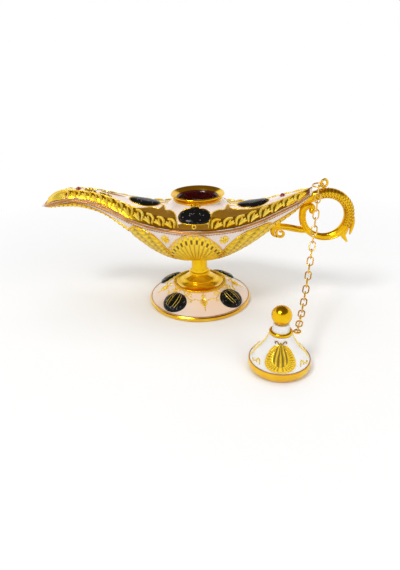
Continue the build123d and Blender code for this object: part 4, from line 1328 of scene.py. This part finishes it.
class LAMP_OT_mouth_ornament(Operator):
    """Bead under the mouth's lip and a bud at its front and back"""

    bl_idname = "lamp.mouth_ornament"
    bl_label = "Mouth ornament"

    def execute(self, context):
        """A ring on the dome and two buds of three petals."""
        petals = []
        for side in SIDES:
            for bend in (-1, 0, 1):
                petal = swung(BUD_PETAL, bend)
                petals.append(drawn(petal, 6, partial(on_dome, side), height=0.3, taper=0.5))
        line_piece("mouth_bead", "gilt", [circle(under_lip, 0.35)], radius=0.5, sides=2)
        line_piece("mouth_buds", "gilt", petals, radius=0.6)
        return {"FINISHED"}


# Stage

def floor():
    """A round sheet of paper under the lamp."""
    fresh_start()
    bpy.ops.mesh.primitive_circle_add(vertices=ROUND_STEPS, radius=FLOOR_RADIUS, fill_type="TRIFAN")
    sheet = bpy.context.object
    sheet.name = "floor"
    tree, shader = surface("floor paper", PAPER, DEEP_PAPER, metallic=0.0, smooth=0.7, rough=0.9,
                           patch=4, grain=300, bump=0.01)
    whiten(tree, shader)
    sheet.data.materials.append(bpy.data.materials["floor paper"])


def whiten(tree, shader):
    """Let the paper fade to plain white away from the lamp, to the eye and in reflections."""
    where = add_node(tree, "TexCoord").outputs["Object"]
    reach = add_node(tree, "VectorMath", {0: where}, operation="LENGTH").outputs["Value"]
    fade = add_node(tree, "MapRange", {"Value": reach, "From Min": FADE[0], "From Max": FADE[1]})
    ray = add_node(tree, "LightPath").outputs
    direct = maths(tree, "ADD", ray["Is Camera Ray"], ray["Is Glossy Ray"])
    seen = add_node(tree, "Math", {0: direct, 1: ray["Is Transmission Ray"]}, use_clamp=True)
    amount = maths(tree, "MULTIPLY", seen.outputs[0], fade.outputs["Result"])
    glow = add_node(tree, "Emission").outputs["Emission"]
    mix = add_node(tree, "MixShader", {"Fac": amount, 1: shader.outputs["BSDF"], 2: glow})
    feed(tree, tree.nodes["Material Output"].inputs["Surface"], mix.outputs["Shader"])


def backdrop():
    """A white wall all round; the eye and mirrors see it, but it neither lights nor shades the lamp."""
    fresh_start()
    bpy.ops.mesh.primitive_cylinder_add(vertices=ROUND_STEPS, radius=WALL_RADIUS, depth=WALL_HEIGHT,
                                        end_fill_type="NOTHING", location=(0, 0, WALL_HEIGHT / 2))
    wall = bpy.context.object
    wall.name = "backdrop"
    bpy.ops.object.transform_apply(location=True)
    wall.visible_diffuse = False
    wall.visible_shadow = False
    white = bpy.data.materials.new("backdrop white")
    white.use_nodes = True
    tree = white.node_tree
    glow = add_node(tree, "Emission").outputs["Emission"]
    feed(tree, tree.nodes["Material Output"].inputs["Surface"], glow)
    tree.nodes.remove(tree.nodes["Principled BSDF"])
    wall.data.materials.append(white)


def lights():
    """A key over the left, a fill from the right and one overhead; only the key shows in gloss."""
    for name, place, size, share in LIGHTS:
        bpy.ops.object.light_add(type="AREA", location=place)
        lamp = bpy.context.object
        lamp.name = name
        lamp.data.size = size
        lamp.data.energy = bpy.context.scene.lamp_stage.key * share
        lamp.visible_glossy = name == "key"
        lamp.rotation_euler = (LIGHT_AIM - Vector(place)).to_track_quat("-Z", "Y").to_euler()


def room():
    """Even grey light from all round, which gloss sees as a dim brown."""
    world = bpy.context.scene.world or bpy.data.worlds.new("room")
    bpy.context.scene.world = world
    world.use_nodes = True
    tree = world.node_tree
    gloss = add_node(tree, "LightPath").outputs["Is Glossy Ray"]
    mix = add_node(tree, "Mix", {"Factor": gloss, "A": ROOM_GREY, "B": ROOM_GLOSS}, data_type="RGBA")
    sky = tree.nodes["Background"]
    feed(tree, sky.inputs["Color"], mix.outputs["Result"])
    sky.inputs["Strength"].default_value = 1.0


def view():
    """The camera that took the picture."""
    stage = bpy.context.scene.lamp_stage
    bpy.ops.object.camera_add(location=stage.camera)
    camera = bpy.context.object
    turn = (Matrix.Rotation(stage.turn, 4, "Z") @ Matrix.Rotation(math.pi / 2 - stage.pitch, 4, "X")
            @ Matrix.Rotation(stage.roll, 4, "Z"))
    camera.rotation_euler = turn.to_euler()
    camera.data.sensor_fit = "VERTICAL"
    camera.data.sensor_height = SENSOR_HEIGHT
    camera.data.lens = stage.lens
    camera.data.clip_start = NEAREST_SEEN
    bpy.context.scene.camera = camera


class LAMP_OT_stage(Operator):
    """Pale floor and wall, soft lights and the camera"""

    bl_idname = "lamp.stage"
    bl_label = "Stage"

    def execute(self, context):
        """Floor and wall, three soft lights, the room's light and the view."""
        floor()
        backdrop()
        lights()
        room()
        view()
        context.scene.view_settings.view_transform = "Standard"
        return {"FINISHED"}


# Add-on

class LAMP_PT_panel(Panel):
    """Lists the lamp's pieces in the order they are made"""

    bl_label = "Genie Lamp"
    bl_idname = "LAMP_PT_panel"
    bl_space_type = "VIEW_3D"
    bl_region_type = "UI"
    bl_category = "Genie Lamp"

    def draw(self, context):
        """One button for each operator."""
        for operator in OPERATORS:
            self.layout.operator(operator.bl_idname)


OPERATORS = (LAMP_OT_finishes, LAMP_OT_rim, LAMP_OT_fans, LAMP_OT_rosettes, LAMP_OT_panels,
             LAMP_OT_medallions, LAMP_OT_foot_ornament, LAMP_OT_lid_ornament, LAMP_OT_handle_ornament,
             LAMP_OT_mouth_ornament, LAMP_OT_stage)
GROUPS = {"lamp_finish": LampFinish, "lamp_ornament": LampOrnament, "lamp_stage": LampStage}


def register():
    """Add the classes and the scene's settings."""
    for group in GROUPS.values():
        bpy.utils.register_class(group)
    for cls in (*OPERATORS, LAMP_PT_panel):
        bpy.utils.register_class(cls)
    for name, group in GROUPS.items():
        setattr(bpy.types.Scene, name, PointerProperty(type=group))


def unregister():
    """Take the settings and the classes away again."""
    for name in GROUPS:
        delattr(bpy.types.Scene, name)
    for cls in (LAMP_PT_panel, *reversed(OPERATORS), *GROUPS.values()):
        bpy.utils.unregister_class(cls)


def main():
    """Dress the lamp."""
    register()
    bpy.ops.lamp.finishes()
    bpy.ops.lamp.rim()
    bpy.ops.lamp.fans()
    bpy.ops.lamp.rosettes()
    bpy.ops.lamp.panels()
    bpy.ops.lamp.medallions()
    bpy.ops.lamp.foot_ornament()
    bpy.ops.lamp.lid_ornament()
    bpy.ops.lamp.handle_ornament()
    bpy.ops.lamp.mouth_ornament()
    bpy.ops.lamp.stage()


if __name__ == "__main__":
    main()
